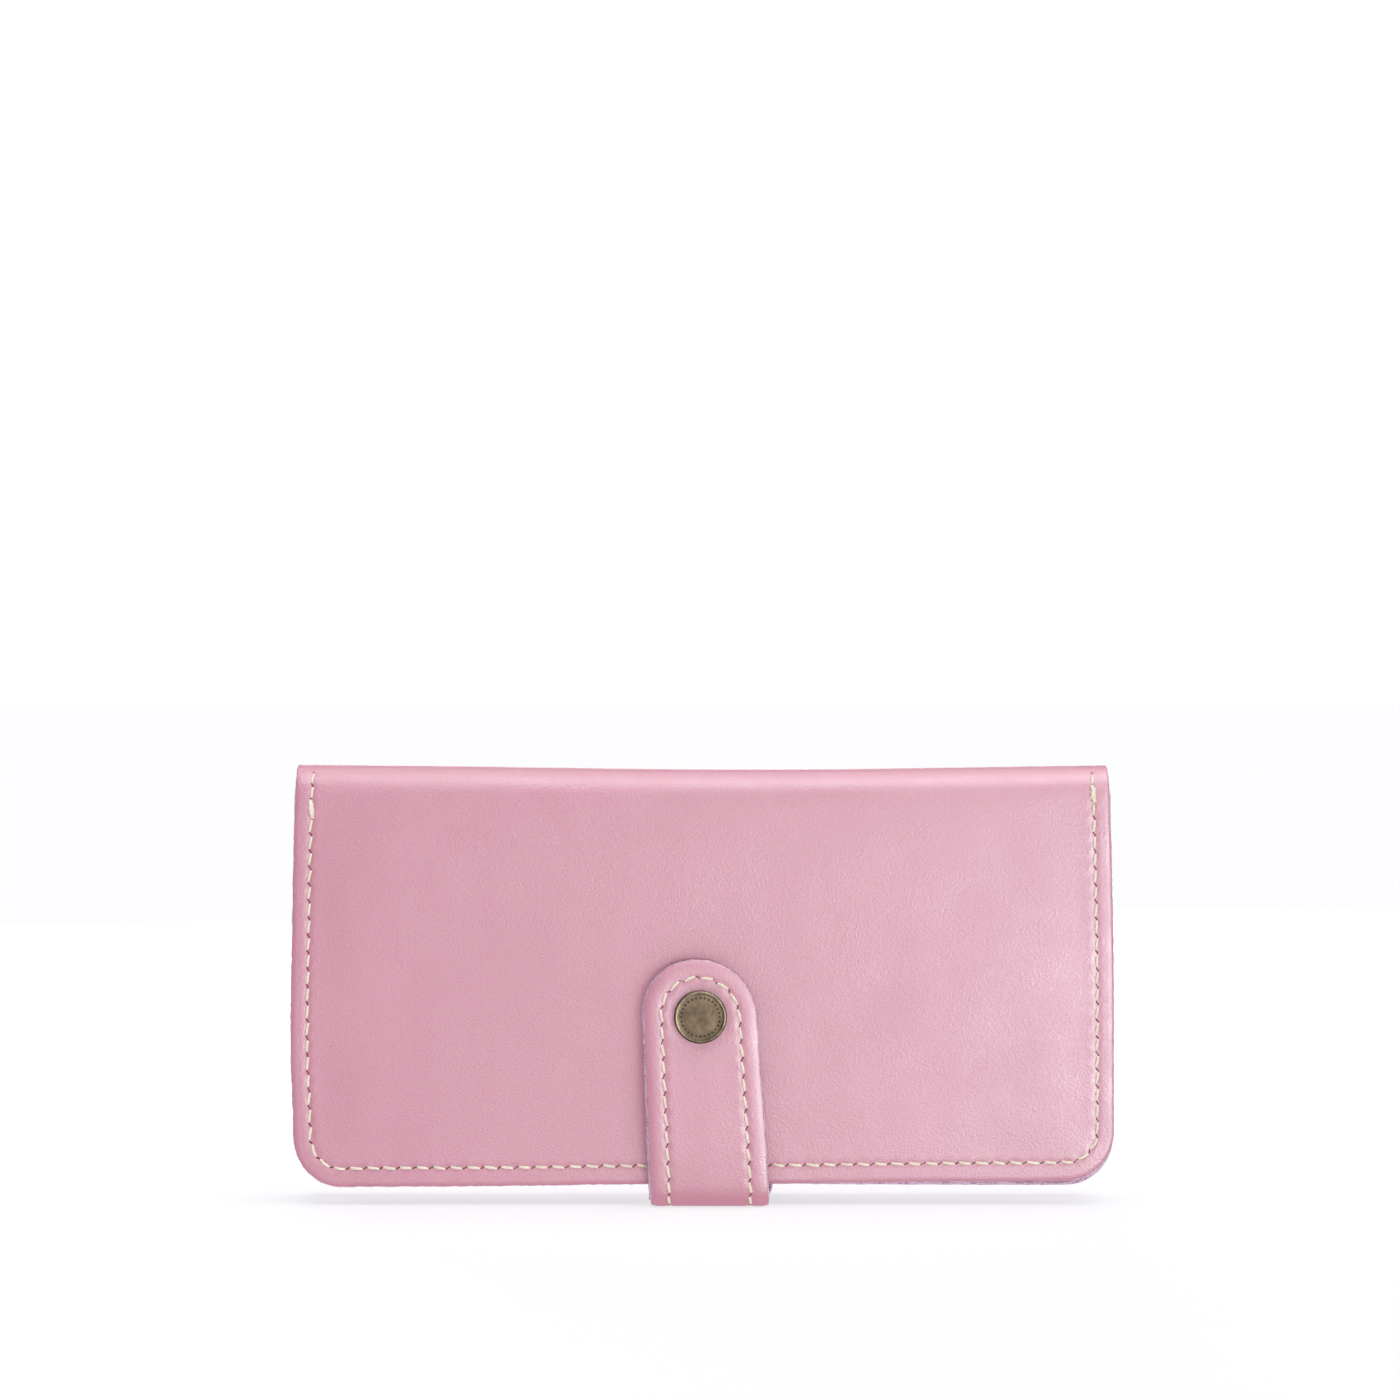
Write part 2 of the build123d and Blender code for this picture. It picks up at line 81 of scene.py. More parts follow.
WIDTH = corner("front_cover", 1, 0) - corner("front_cover", 0, 0)
TOP_Z = corner("fold_crest", 1, 2)
EDGE_Z = 4.8
FOLD_R, SHELL_T, CORNER_R = 6.2, 1.8, 11.5
FLARE = math.radians(2.3)
SIN, COS = math.sin(FLARE), math.cos(FLARE)
EASE = 0.32
FOLD_Z = TOP_Z - FOLD_R
PANEL_L = (FOLD_Z - EDGE_Z) / COS
ARC = FOLD_R * (math.pi / 2 - FLARE)
SHEET_L = ARC + PANEL_L
SIDE_INSET, END_INSET, PITCH = 3.9, 4.3, 4.1

LINING_T, PANEL_T, BILL_T, TIER_T, TIERS = 0.4, 1.2, 1.0, 0.9, 4
COVER_IN = FOLD_R - SHELL_T
TIER_STEP, FIRST_MOUTH, TOP_MOUTH, BILL_MOUTH = 11.0, 46.0, 1.0, 3.5
RAISE, RAISE_MARGIN, RAISE_RUN = 2.8, 7.0, 3.5
RIM_IN = COVER_IN - LINING_T
ZIP_DROP, WINDOW_L, WINDOW_H = 22.0, 168.0, 9.0

STRAP_T, STRAP_LINING_T, STRAP_TIP_W, STRAP_LOOP_W, STRAP_GAP = 1.4, 1.0, 26.4, 27.6, 3.3
STRAP_ALL = STRAP_T + STRAP_LINING_T
STRAP_OUT, ANCHOR_OUT = FOLD_R + STRAP_GAP + STRAP_ALL, FOLD_R + 0.35 + STRAP_ALL
LOOP_R, SNAP_X, SNAP_Z, TIP_Z = 4.5, -0.5, 45.1, 58.4
LOOP_X, ANCHOR_X, ANCHOR_Z = 1.7, 3.6, 44.0
CAP_R = 6.25


def drop_for(height, depth):
    """How far down a half a point at that height and depth is."""
    return (FOLD_Z + depth * SIN - height) / COS


SNAP_DROP, TIP_DROP = drop_for(SNAP_Z, STRAP_OUT), drop_for(TIP_Z, STRAP_OUT)
BEND_DROP, REAR_BEND_DROP = drop_for(LOOP_R, STRAP_OUT - LOOP_R), drop_for(LOOP_R, ANCHOR_OUT - LOOP_R)


# ---- places ----

def half_point(side, x, depth, drop):
    """Points on a half, as an array. side is -1 for the front and 1 for the back."""
    y = side * (depth * COS + drop * SIN)
    return np.stack([x + 0 * y, y, FOLD_Z + depth * SIN - drop * COS], -1)


def eased(turn, limit):
    """The smaller of two angles with a soft change-over, so that a bend runs gently into a straight."""
    return limit - EASE * np.log1p(np.exp((limit - turn) / EASE))


def shell_point(side, x, v, depth):
    """Points on the outer shell: over the fold's arc, then down the half."""
    turn = eased(v / FOLD_R, math.pi / 2 - FLARE)
    past = v - turn * FOLD_R
    return np.stack([x + 0 * v, side * (depth * np.sin(turn) + past * SIN),
                     FOLD_Z + depth * np.cos(turn) - past * COS], -1)


def smooth(a, b, value):
    t = np.clip((value - a) / (b - a), 0, 1)
    return t * t * (3 - 2 * t)


def waves(x, y, seed, size, count=5):
    """A soft, seeded, irregular wave over a sheet, between about -1 and 1, for features of a given size."""
    rng = np.random.default_rng(seed)
    total = 0
    for _ in range(count):
        angle, phase = rng.uniform(0, 2 * math.pi, 2)
        length = size * rng.uniform(0.7, 1.6)
        total = total + np.sin((x * math.cos(angle) + y * math.sin(angle)) * 2 * math.pi / length + phase)
    return total / count


# ---- flat patterns ----

class Pattern:
    """A piece with parallel sides and a far end with two round corners. v runs from the near end, which is
    square, to the far end."""

    def __init__(self, width, length, radius, near=0.0):
        self.half, self.length, self.radius, self.near = width / 2, length, radius, near

    def edge(self, x, v):
        """How far points are from the sides and the far end."""
        h = self.length - v
        qx, qh = np.abs(x) - (self.half - self.radius), self.radius - h
        beside = np.minimum(self.half - np.abs(x), h)
        return np.where((qx > 0) & (qh > 0), self.radius - np.hypot(qx, qh), beside)

    def along(self, x, v, inset):
        """How far points are along a seam at that inset, from the middle of the far end."""
        h, r = self.length - v, self.radius - inset
        straight = self.half - self.radius
        turn = np.arctan2(np.abs(x) - straight, self.radius - h)
        side = straight + r * math.pi / 2 + h - self.radius
        at_corner = straight + r * turn
        return np.where(h > self.radius, side, np.where(np.abs(x) > straight, at_corner, np.abs(x)))

    def seam(self, q, side_inset, end_inset):
        """(x, v) of a point on the seam that is q along it from the far end's middle, to the right if q
        is positive."""
        straight = self.half - self.radius
        r = self.radius - (side_inset + end_inset) / 2
        quarter = r * math.pi / 2
        a = abs(q)
        if a < straight:
            x, h = a, end_inset
        elif a < straight + quarter:
            turn = (a - straight) / r
            inset = end_inset + (side_inset - end_inset) * turn * 2 / math.pi
            x = straight + (self.radius - inset) * math.sin(turn)
            h = self.radius - (self.radius - inset) * math.cos(turn)
        else:
            x, h = self.half - side_inset, self.radius + a - straight - quarter
        return math.copysign(x, q), self.length - h

    def seam_half(self, side_inset, end_inset):
        """The length of half the seam, from the far end's middle to the near end."""
        r = self.radius - (side_inset + end_inset) / 2
        return self.half - self.radius + r * math.pi / 2 + self.length - self.near - self.radius

    def loop(self, inset, spacing):
        """Points along the sides and far end at an inset, from the left of the near end to its right."""
        r = max(self.radius - inset, 0.05)
        straight = self.half - self.radius
        rows = np.linspace(self.near, self.length - self.radius, max(2, round(
            (self.length - self.radius - self.near) / spacing) + 1))
        turns = np.linspace(0, math.pi / 2, max(4, round(r * 1.57 / spacing)) + 1)[1:-1]
        right = [(self.half - inset, v) for v in rows]
        right += [(straight + r * math.cos(t), self.length - self.radius + r * math.sin(t)) for t in turns]
        count = max(1, round(straight / spacing))
        right += [(straight * (1 - i / count), self.length - inset) for i in range(count)]
        left = [(-x, v) for x, v in right]
        return left + [(0.0, self.length - inset)] + right[::-1]


BORDER = (0.0, 0.3, 0.7, 1.3, 2.1, 2.8, 3.3, 3.7, 4.1, 4.5, 4.9, 5.5, 6.4, 7.6)


def pattern_mesh(pattern, insets, spacing, middle, holes=(), fine=0.0):
    """Triangles over a pattern: rows of points that follow its edge, and a grid in the middle, three times
    as close up to fine from the near end. Each hole is (loop, inside), a closed loop of points and a function
    that says what lies within it."""
    points, edges = [], []
    rim = pattern.loop(insets[0], spacing)
    for inset in insets:
        points += pattern.loop(inset, spacing)
    deep = insets[-1] + middle * 0.7
    reach = pattern.half - deep
    columns = np.linspace(-reach, reach, max(2, round(2 * reach / middle) + 1))
    rows = np.linspace(pattern.near, pattern.length - deep, max(2, round(
        (pattern.length - deep - pattern.near) / middle) + 1))
    if fine:
        close = np.linspace(pattern.near, fine, round(3 * fine / middle), endpoint=False)
        rows = np.concatenate([close, rows[rows >= fine]])
    for v in rows:
        for x in columns:
            if pattern.edge(x, v) > deep - 0.01 and not any(inside(x, v, 0.6) for _, inside in holes):
                points.append((x, v))
    index = {}
    unique = []
    for x, v in points:
        key = (round(x, 4), round(v, 4))
        if key not in index:
            index[key] = len(unique)
            unique.append((x, v))
    chain = [index[(round(x, 4), round(v, 4))] for x, v in rim]
    inner = pattern.half - insets[0] - 1e-3
    near = sorted((x for x, v in index if v == round(pattern.near, 4) and abs(x) < inner), reverse=True)
    chain += [index[(x, round(pattern.near, 4))] for x in near]
    edges += [(a, b) for a, b in zip(chain, chain[1:] + chain[:1]) if a != b]
    for loop, _ in holes:
        base = len(unique)
        unique += loop
        edges += [(base + i, base + (i + 1) % len(loop)) for i in range(len(loop))]
    out = delaunay_2d_cdt([tuple(map(float, p)) for p in unique], edges, [], 0, 1e-5)
    flat = np.array([tuple(p) for p in out[0]])
    faces = []
    for face in out[2]:
        x, v = flat[list(face)].mean(0)
        if v < pattern.near or pattern.edge(x, v) < insets[0]:
            continue
        if any(inside(x, v, 0) for _, inside in holes):
            continue
        faces.append(list(face))
    used = sorted(set(i for f in faces for i in f))
    renumber = {old: new for new, old in enumerate(used)}
    return flat[used], [[renumber[i] for i in f] for f in faces]


def rim_edges(faces):
    """The edges of a flat mesh that only one of its faces uses, in that face's direction."""
    seen = {}
    for face in faces:
        for a, b in zip(face, face[1:] + face[:1]):
            seen[(a, b)] = True
    return [(a, b) for a, b in seen if (b, a) not in seen]


def new_object(name, vertices, faces, materials, picks=None, uv=None, values=None):
    """A mesh object from points in millimetres. uv and values are per vertex."""
    mesh = bpy.data.meshes.new(name)
    mesh.from_pydata((np.asarray(vertices) * MM).tolist(), [], faces)
    for look in materials:
        mesh.materials.append(look)
    if picks is not None:
        mesh.polygons.foreach_set("material_index", picks)
    mesh.polygons.foreach_set("use_smooth", [True] * len(mesh.polygons))
    if uv is not None:
        layer = mesh.uv_layers.new(name="UVMap")
        corners = np.zeros(len(mesh.loops), int)
        mesh.loops.foreach_get("vertex_index", corners)
        layer.data.foreach_set("uv", (np.asarray(uv)[corners] * 0.01).ravel())
    for key, value in (values or {}).items():
        attribute = mesh.attributes.new(key, "FLOAT", "POINT")
        attribute.data.foreach_set("value", np.asarray(value, np.float32))
    mesh.update()
    obj = bpy.data.objects.new(name, mesh)
    bpy.context.scene.collection.objects.link(obj)
    return obj


def sheet(name, flat, faces, place, thickness, materials, edge, fuzz=0.12, seed=1, raw="inner"):
    """A sheet of leather or cloth with a worn, rounded cut edge. place(x, v, depth) gives the points that
    are that far below the sheet's outer face, and edge(x, v) how far they are from its edge. The second
    material is for the cut edge and the raw side. With no raw side, the sheet goes on into another one at
    v = 0, where it has no cut edge."""
    x, v = flat[:, 0], flat[:, 1]
    count = len(flat)
    outer, inner = place(x, v, 0 * x), place(x, v, 0 * x + thickness)
    rim = rim_edges(faces)
    if raw is None:
        rim = [(a, b) for a, b in rim if max(flat[a][1], flat[b][1]) > 1e-6]
    around = sorted(set(i for e in rim for i in e))
    spot = {i: n for n, i in enumerate(around)}
    outward = np.zeros((len(around), 2))
    for a, b in rim:
        along = flat[b] - flat[a]
        normal = np.array([along[1], -along[0]]) / max(np.hypot(*along), 1e-9)
        outward[spot[a]] += normal
        outward[spot[b]] += normal
    outward /= np.maximum(np.hypot(outward[:, 0], outward[:, 1]), 1e-9)[:, None]
    rng = np.random.default_rng(seed)
    rows = [np.array(around)]
    vertices = [outer, inner]
    uv = [flat, flat + 0.37]
    levels = (0.22, 0.5, 0.78)
    for level, bulge in zip(levels, (0.12, 0.16, 0.10)):
        push = bulge + fuzz * rng.uniform(-1, 1, len(around))
        at = flat[around] + outward * push[:, None]
        vertices.append(place(at[:, 0], at[:, 1], 0 * push + thickness * level))
        start = sum(len(part) for part in vertices[:-1])
        rows.append(np.arange(start, start + len(around)))
        uv.append(flat[around] + outward * level * thickness)
    rows.append(np.array(around) + count)
    made = [list(f) for f in faces] + [[i + count for i in reversed(f)] for f in faces]
    picks = [int(raw == "outer")] * len(faces) + [int(raw == "inner")] * len(faces)
    for upper, lower in zip(rows, rows[1:]):
        for a, b in rim:
            made.append([int(upper[spot[b]]), int(upper[spot[a]]), int(lower[spot[a]]), int(lower[spot[b]])])
            picks.append(1)
    values = {"edge_mm": np.concatenate([edge(x, v)] * 2 + [edge(x[around], v[around])] * len(levels))}
    obj = new_object(name, np.concatenate(vertices), made, materials, picks, np.concatenate(uv), values)
    fix_normals(obj)
    return obj


def tube_faces(rings, sides):
    """Faces between rings of points that come one after the other."""
    rows = [(i * sides, (i + 1) * sides) for i in range(rings - 1)]
    return [[a + j, a + (j + 1) % sides, b + (j + 1) % sides, b + j] for a, b in rows for j in range(sides)]


def fix_normals(obj):
    work = bmesh.new()
    work.from_mesh(obj.data)
    bmesh.ops.recalc_face_normals(work, faces=work.faces)
    work.to_mesh(obj.data)
    work.free()


# ---- thread ----

STITCH_L, THREAD_R, STITCH_LIFT, ROOT = 3.35, 0.315, 0.18, 0.42
PLIES, PLY_DEPTH, TWISTS = 3, 0.13, 2.2
HOLE_SIDES, HOLE_HALF_L, HOLE_HALF_W, HOLE_SLANT, HOLE_UP = 10, 0.36, 0.17, 0.22, 0.035


def stitch(centre_of, q, length, radius, slant, detail, lift):
    """One stitch: a twisted thread that comes up out of one hole and goes down the next. centre_of(q,
    across, up) gives a point near the seam."""
    rings, sides = detail
    vertices = []
    for i in range(rings):
        t = i / (rings - 1)
        arch = math.sin(math.pi * t) ** 0.55
        across = slant * (t - 0.5)
        up = -ROOT + (ROOT + lift) * arch
        for j in range(sides):
            angle = 2 * math.pi * j / sides
            ply = 1 + PLY_DEPTH * math.cos(PLIES * angle - 2 * math.pi * TWISTS * t)
            r = radius * ply * (0.72 + 0.28 * arch)
            vertices.append((q + (t - 0.5) * length, across + r * math.cos(angle), up + r * math.sin(angle)))
    faces = tube_faces(rings, sides)
    faces.append(list(range(sides))[::-1])
    faces.append([(rings - 1) * sides + j for j in range(sides)])
    return centre_of(np.array(vertices)), faces


def stitching(name, spots, centre_of, detail=(9, 9), radius=THREAD_R, seed=3, holes=True):
    """A row of stitches as one mesh, with a dark patch at each end of each, which is painted shade for its
    hole. spots are positions along the seam, each with a thickness factor. The thicker ones are a bar tack's,
    and slant more."""
    rng = random.Random(seed)
    vertices, faces, picks, total = [], [], [], 0
    for q, bulk in spots:
        slant = rng.uniform(0.28, 0.60) * (1 if bulk < 1.1 else 1.5 * rng.choice((-1, 1)))
        middle = q + rng.uniform(-0.08, 0.08)
        size = STITCH_L * rng.uniform(0.95, 1.05)
        lift = STITCH_LIFT + 0.3 * (bulk - 1)
        points, made = stitch(centre_of, middle, size, radius * bulk, slant, detail, lift)
        vertices.append(points)
        faces += [[i + total for i in f] for f in made]
        picks += [0] * len(made)
        total += len(points)
        if not holes:
            continue
        # A flat dark patch at each end of the stitch: painted shade for its hole.
        for end in (-1, 1):
            at, across = middle + end * (size / 2 + 0.12), slant * end * 0.36
            turns = [2 * math.pi * j / HOLE_SIDES for j in range(HOLE_SIDES)]
            ring = [(at + HOLE_HALF_L * math.cos(t),
                     across + HOLE_HALF_W * math.sin(t) - HOLE_SLANT * slant * math.cos(t), HOLE_UP)
                    for t in turns]
            ring.append((at, across, 0.05))
            vertices.append(centre_of(np.array(ring)))
            for j in range(HOLE_SIDES):
                faces.append([total + j, total + (j + 1) % HOLE_SIDES, total + HOLE_SIDES])
                picks.append(1)
            total += len(ring)
    obj = new_object(name, np.concatenate(vertices), faces, [thread, hole], picks)
    fix_normals(obj)
    return obj


def seam_frame(pattern, place, side_inset=SIDE_INSET, end_inset=END_INSET):
    """A function that turns (q, across, up) near a pattern's seam into points."""
    def centre_of(local):
        flat = np.array([pattern.seam(q, side_inset, end_inset) for q in local[:, 0]])
        ahead = np.array([pattern.seam(q + 0.05, side_inset, end_inset) for q in local[:, 0]])
        along = ahead - flat
        along /= np.hypot(along[:, 0], along[:, 1])[:, None]
        at_x = flat[:, 0] - along[:, 1] * local[:, 1]
        at_v = flat[:, 1] + along[:, 0] * local[:, 1]
        return place(at_x, at_v, -local[:, 2])
    return centre_of


def spots_along(pattern, side_inset=SIDE_INSET, end_inset=END_INSET, margin=1.9):
    """Stitch positions over a whole seam, spread evenly to both sides of the far end's middle."""
    half = pattern.seam_half(side_inset, end_inset) - margin
    count = round(half / PITCH)
    return [(sign * (n + 0.5) * half / (count + 0.5), 1.0) for n in range(count) for sign in (1, -1)]


# ---- materials ----

def material(name):
    made = bpy.data.materials.new(name)
    made.use_nodes = True
    tree = made.node_tree
    return made, tree, tree.nodes["Principled BSDF"]


def link(tree, source, target):
    tree.links.new(source, target)


def scaled(tree, kind, scale):
    coordinates = tree.nodes.new("ShaderNodeTexCoord")
    mapping = tree.nodes.new("ShaderNodeMapping")
    mapping.inputs["Scale"].default_value = (scale,) * 3
    link(tree, coordinates.outputs[kind], mapping.inputs["Vector"])
    return mapping.outputs["Vector"]


def flat_coordinates(tree, size):
    """UV coordinates scaled so that a texture's features are about size millimetres across."""
    return scaled(tree, "UV", 100 / size)


def solid_coordinates(tree, size):
    """The same from the object's own coordinates."""
    return scaled(tree, "Object", 1000 / size)


def noise_at(tree, vector, detail, rough):
    node = tree.nodes.new("ShaderNodeTexNoise")
    node.inputs["Scale"].default_value = 1.0
    node.inputs["Detail"].default_value = detail
    node.inputs["Roughness"].default_value = rough
    link(tree, vector, node.inputs["Vector"])
    return node.outputs["Fac"]


def flat_noise(tree, size, detail, rough):
    return noise_at(tree, flat_coordinates(tree, size), detail, rough)


def solid_noise(tree, size, detail, rough=0.55):
    return noise_at(tree, solid_coordinates(tree, size), detail, rough)


def ramp(tree, value, stops):
    node = tree.nodes.new("ShaderNodeValToRGB")
    elements = node.color_ramp.elements
    while len(elements) < len(stops):
        elements.new(0.5)
    for element, (at, colour) in zip(elements, stops):
        element.position = at
        element.color = (*colour, 1)
    link(tree, value, node.inputs["Fac"])
    return node.outputs["Color"]


def mix(tree, factor, a, b):
    """A colour mix. factor, a and b are each an output or a plain value."""
    node = tree.nodes.new("ShaderNodeMix")
    node.data_type = "RGBA"
    for socket, value in ((node.inputs[0], factor), (node.inputs[6], a), (node.inputs[7], b)):
        if isinstance(value, bpy.types.NodeSocket):
            link(tree, value, socket)
        elif isinstance(value, tuple):
            socket.default_value = (*value, 1)
        else:
            socket.default_value = value
    return node.outputs[2]


def spread(tree, value, low, high, to_low=0.0, to_high=1.0):
    node = tree.nodes.new("ShaderNodeMapRange")
    for n, number in enumerate((low, high, to_low, to_high)):
        node.inputs[n + 1].default_value = number
    link(tree, value, node.inputs[0])
    return node.outputs[0]


def bump(tree, shader, layers):
    """Stacks (height, depth in millimetres) layers of bump on a shader."""
    normal = None
    for height, depth in layers:
        node = tree.nodes.new("ShaderNodeBump")
        node.inputs["Strength"].default_value = 1.0
        node.inputs["Distance"].default_value = depth * MM
        link(tree, height, node.inputs["Height"])
        if normal is not None:
            link(tree, normal, node.inputs["Normal"])
        normal = node.outputs["Normal"]
    link(tree, normal, shader.inputs["Normal"])


def voronoi(tree, vector, feature="F1"):
    node = tree.nodes.new("ShaderNodeTexVoronoi")
    node.feature = feature
    node.inputs["Scale"].default_value = 1.0
    node.inputs["Randomness"].default_value = 1.0
    link(tree, vector, node.inputs["Vector"])
    return node.outputs["Distance"]


# How much of the grain's darker colour leather shows at its edge, and at shares of the reach inside it:
# slightly darker at the edge, and darkest along the seam's groove, which is painted shade.
EDGE_DARK, DARK_REACH = 0.10, 10.0
SEAM_DARK = ((0.06, 0.03), (0.30, 0.02), (0.36, 0.10), (0.40, 0.26), (0.44, 0.10), (0.52, 0.0))


def leather(name, pale, deep, crease, grain=0.030, rough=0.42):
    """Full-grain leather: cloudy dye, a fine pebbled grain, soft wrinkles, a slightly darker edge and a
    darker line at its seam, which is painted shade in the seam's groove.
    """
    made, tree, shader = material(name)
    clouds = flat_noise(tree, 38.0, 4.0, 0.5)
    specks = flat_noise(tree, 0.42, 2.0, 0.6)
    colour = ramp(tree, clouds, ((0.30, deep), (0.70, pale)))
    pores = voronoi(tree, flat_coordinates(tree, 0.62))
    colour = mix(tree, spread(tree, specks, 0.35, 0.7, 0.0, 0.30), colour, crease)
    colour = mix(tree, spread(tree, pores, 0.0, 0.34, 0.14, 0.0), colour, crease)
    edge = tree.nodes.new("ShaderNodeAttribute")
    edge.attribute_name = "edge_mm"
    line = tree.nodes.new("ShaderNodeFloatCurve")
    curve = line.mapping.curves[0]
    curve.points[0].location = (0.0, EDGE_DARK)
    curve.points[1].location = (1.0, 0.0)
    for at in SEAM_DARK:
        curve.points.new(*at)
    line.mapping.update()
    link(tree, spread(tree, edge.outputs["Fac"], 0.0, DARK_REACH), line.inputs["Value"])
    # Mixes in the painted shade along the seam's groove and the slightly darker edge.
    colour = mix(tree, line.outputs[0], colour, crease)
    link(tree, colour, shader.inputs["Base Color"])
    shader.inputs["Specular IOR Level"].default_value = 0.80
    shader.inputs["Sheen Weight"].default_value = 0.12
    shader.inputs["Sheen Roughness"].default_value = 0.5
    worn = flat_noise(tree, 14.0, 3.0, 0.6)
    link(tree, spread(tree, worn, 0.3, 0.7, rough - 0.05, rough + 0.07), shader.inputs["Roughness"])
    wrinkles = flat_noise(tree, 5.5, 4.0, 0.6)
    pebbles = voronoi(tree, flat_coordinates(tree, 0.48), "SMOOTH_F1")
    fine = flat_noise(tree, 0.34, 2.0, 0.6)
    bump(tree, shader, ((wrinkles, grain * 0.6), (pebbles, grain * 1.9), (fine, grain * 1.8)))
    return made


def cut_edge(name, fibre, dye, dark):
    """A raw cut edge: pale fibres over dyed leather."""
    made, tree, shader = material(name)
    strands = solid_noise(tree, 0.5, 4.0, 0.7)
    patches = solid_noise(tree, 3.0, 3.0, 0.6)
    colour = ramp(tree, strands, ((0.36, dark), (0.50, dye), (0.62, fibre)))
    colour = mix(tree, spread(tree, patches, 0.40, 0.60, 0.1, 0.65), colour, fibre)
    link(tree, colour, shader.inputs["Base Color"])
    shader.inputs["Roughness"].default_value = 0.95
    shader.inputs["Specular IOR Level"].default_value = 0.1
    bump(tree, shader, ((strands, 0.14), (patches, 0.1)))
    return made


def thread_look(name, pale, deep):
    made, tree, shader = material(name)
    fibres = solid_noise(tree, 0.16, 3.0, 0.6)
    drift = solid_noise(tree, 9.0, 2.0, 0.5)
    colour = ramp(tree, fibres, ((0.3, deep), (0.65, pale)))
    colour = mix(tree, spread(tree, drift, 0.35, 0.65, 0.0, 0.25), colour, deep)
    link(tree, colour, shader.inputs["Base Color"])
    shader.inputs["Roughness"].default_value = 0.62
    shader.inputs["Sheen Weight"].default_value = 0.15
    bump(tree, shader, ((fibres, 0.05),))
    return made


def plain(name, colour):
    made, tree, shader = material(name)
    speckle = solid_noise(tree, 0.3, 2.0)
    link(tree, ramp(tree, speckle, ((0.3, tuple(c * 0.6 for c in colour)), (0.7, colour))),
         shader.inputs["Base Color"])
    shader.inputs["Roughness"].default_value = 0.9
    shader.inputs["Specular IOR Level"].default_value = 0.05
    return made


def woven(name, pale, deep, pitch):
    """Plain-woven cloth, from two crossed sets of threads."""
    made, tree, shader = material(name)
    coordinates = flat_coordinates(tree, pitch)
    heights = []
    for direction in ("X", "Y"):
        wave = tree.nodes.new("ShaderNodeTexWave")
        wave.bands_direction = direction
        wave.inputs["Scale"].default_value = 0.5
        wave.inputs["Distortion"].default_value = 0.6
        link(tree, coordinates, wave.inputs["Vector"])
        heights.append(wave.outputs["Fac"])
    weave = tree.nodes.new("ShaderNodeMath")
    weave.operation = "MULTIPLY"
    link(tree, heights[0], weave.inputs[0])
    link(tree, heights[1], weave.inputs[1])
    link(tree, ramp(tree, weave.outputs[0], ((0.05, deep), (0.6, pale))), shader.inputs["Base Color"])
    shader.inputs["Roughness"].default_value = 0.9
    shader.inputs["Sheen Weight"].default_value = 0.2
    bump(tree, shader, ((weave.outputs[0], 0.12),))
    return made


def old_metal(name, bright, dark, rough=0.36):
    """Antique brass: a dark patina rubbed bright in patches, with fine scratches."""
    made, tree, shader = material(name)
    patina = solid_noise(tree, 2.4, 5.0, 0.65)
    grain = solid_noise(tree, 0.22, 2.0, 0.6)
    colour = ramp(tree, patina, ((0.36, dark), (0.66, bright)))
    colour = mix(tree, spread(tree, grain, 0.45, 0.7, 0.0, 0.35), colour, dark)
    link(tree, colour, shader.inputs["Base Color"])
    shader.inputs["Metallic"].default_value = 1.0
    link(tree, spread(tree, grain, 0.3, 0.7, rough - 0.06, rough + 0.12), shader.inputs["Roughness"])
    bump(tree, shader, ((grain, 0.012), (patina, 0.02)))
    return made


# The third pink is the grain's darker colour, and also the painted shade along the seam.
PINK, PINK_DEEP, PINK_GRAIN_AND_SHADE = (0.615, 0.248, 0.341), (0.585, 0.227, 0.317), (0.45, 0.130, 0.195)
outer_leather = leather("outer_leather", PINK, PINK_DEEP, PINK_GRAIN_AND_SHADE)
inner_leather = leather("inner_leather", (0.70, 0.375, 0.465), (0.64, 0.325, 0.412), PINK_GRAIN_AND_SHADE, 0.022, 0.56)
raw_edge = cut_edge("raw_edge", (0.80, 0.66, 0.80), (0.60, 0.33, 0.45), (0.25, 0.12, 0.22))
inner_edge = cut_edge("inner_edge", (0.76, 0.60, 0.74), (0.58, 0.33, 0.46), (0.28, 0.11, 0.20))
thread = thread_look("cream_thread", (0.95, 0.89, 0.74), (0.76, 0.66, 0.48))
# The stitch holes' dark colour is painted shade.
hole = plain("stitch_hole_painted_shade", (0.24, 0.062, 0.078))
brass = old_metal("antique_brass", (0.108, 0.071, 0.047), (0.056, 0.037, 0.026))
# Brighter brass for the cap's rim all round: a painted highlight.
brass_rim_highlight = old_metal("brass_rim_painted_highlight", (0.19, 0.142, 0.095), (0.080, 0.057, 0.040), 0.34)
brass_mark = old_metal("brass_recess", (0.05, 0.035, 0.026), (0.03, 0.02, 0.015), 0.6)
zip_metal = old_metal("zip_metal", (0.52, 0.38, 0.19), (0.22, 0.15, 0.08), 0.32)
cotton = woven("lining_cotton", (0.48, 0.31, 0.37), (0.26, 0.15, 0.19), 0.5)
tape_cloth = woven("zip_tape_cloth", (0.66, 0.36, 0.44), (0.40, 0.19, 0.25), 0.55)


# ---- the outer shell ----

GROOVE_W, RIDGE, RIDGE_OFF, RIDGE_W, PUCKER = 0.62, 0.04, 1.5, 0.7, 0.055
ROLL, SLOW_WAVE, SMALL_WAVE = 0.32, 0.16, 0.05


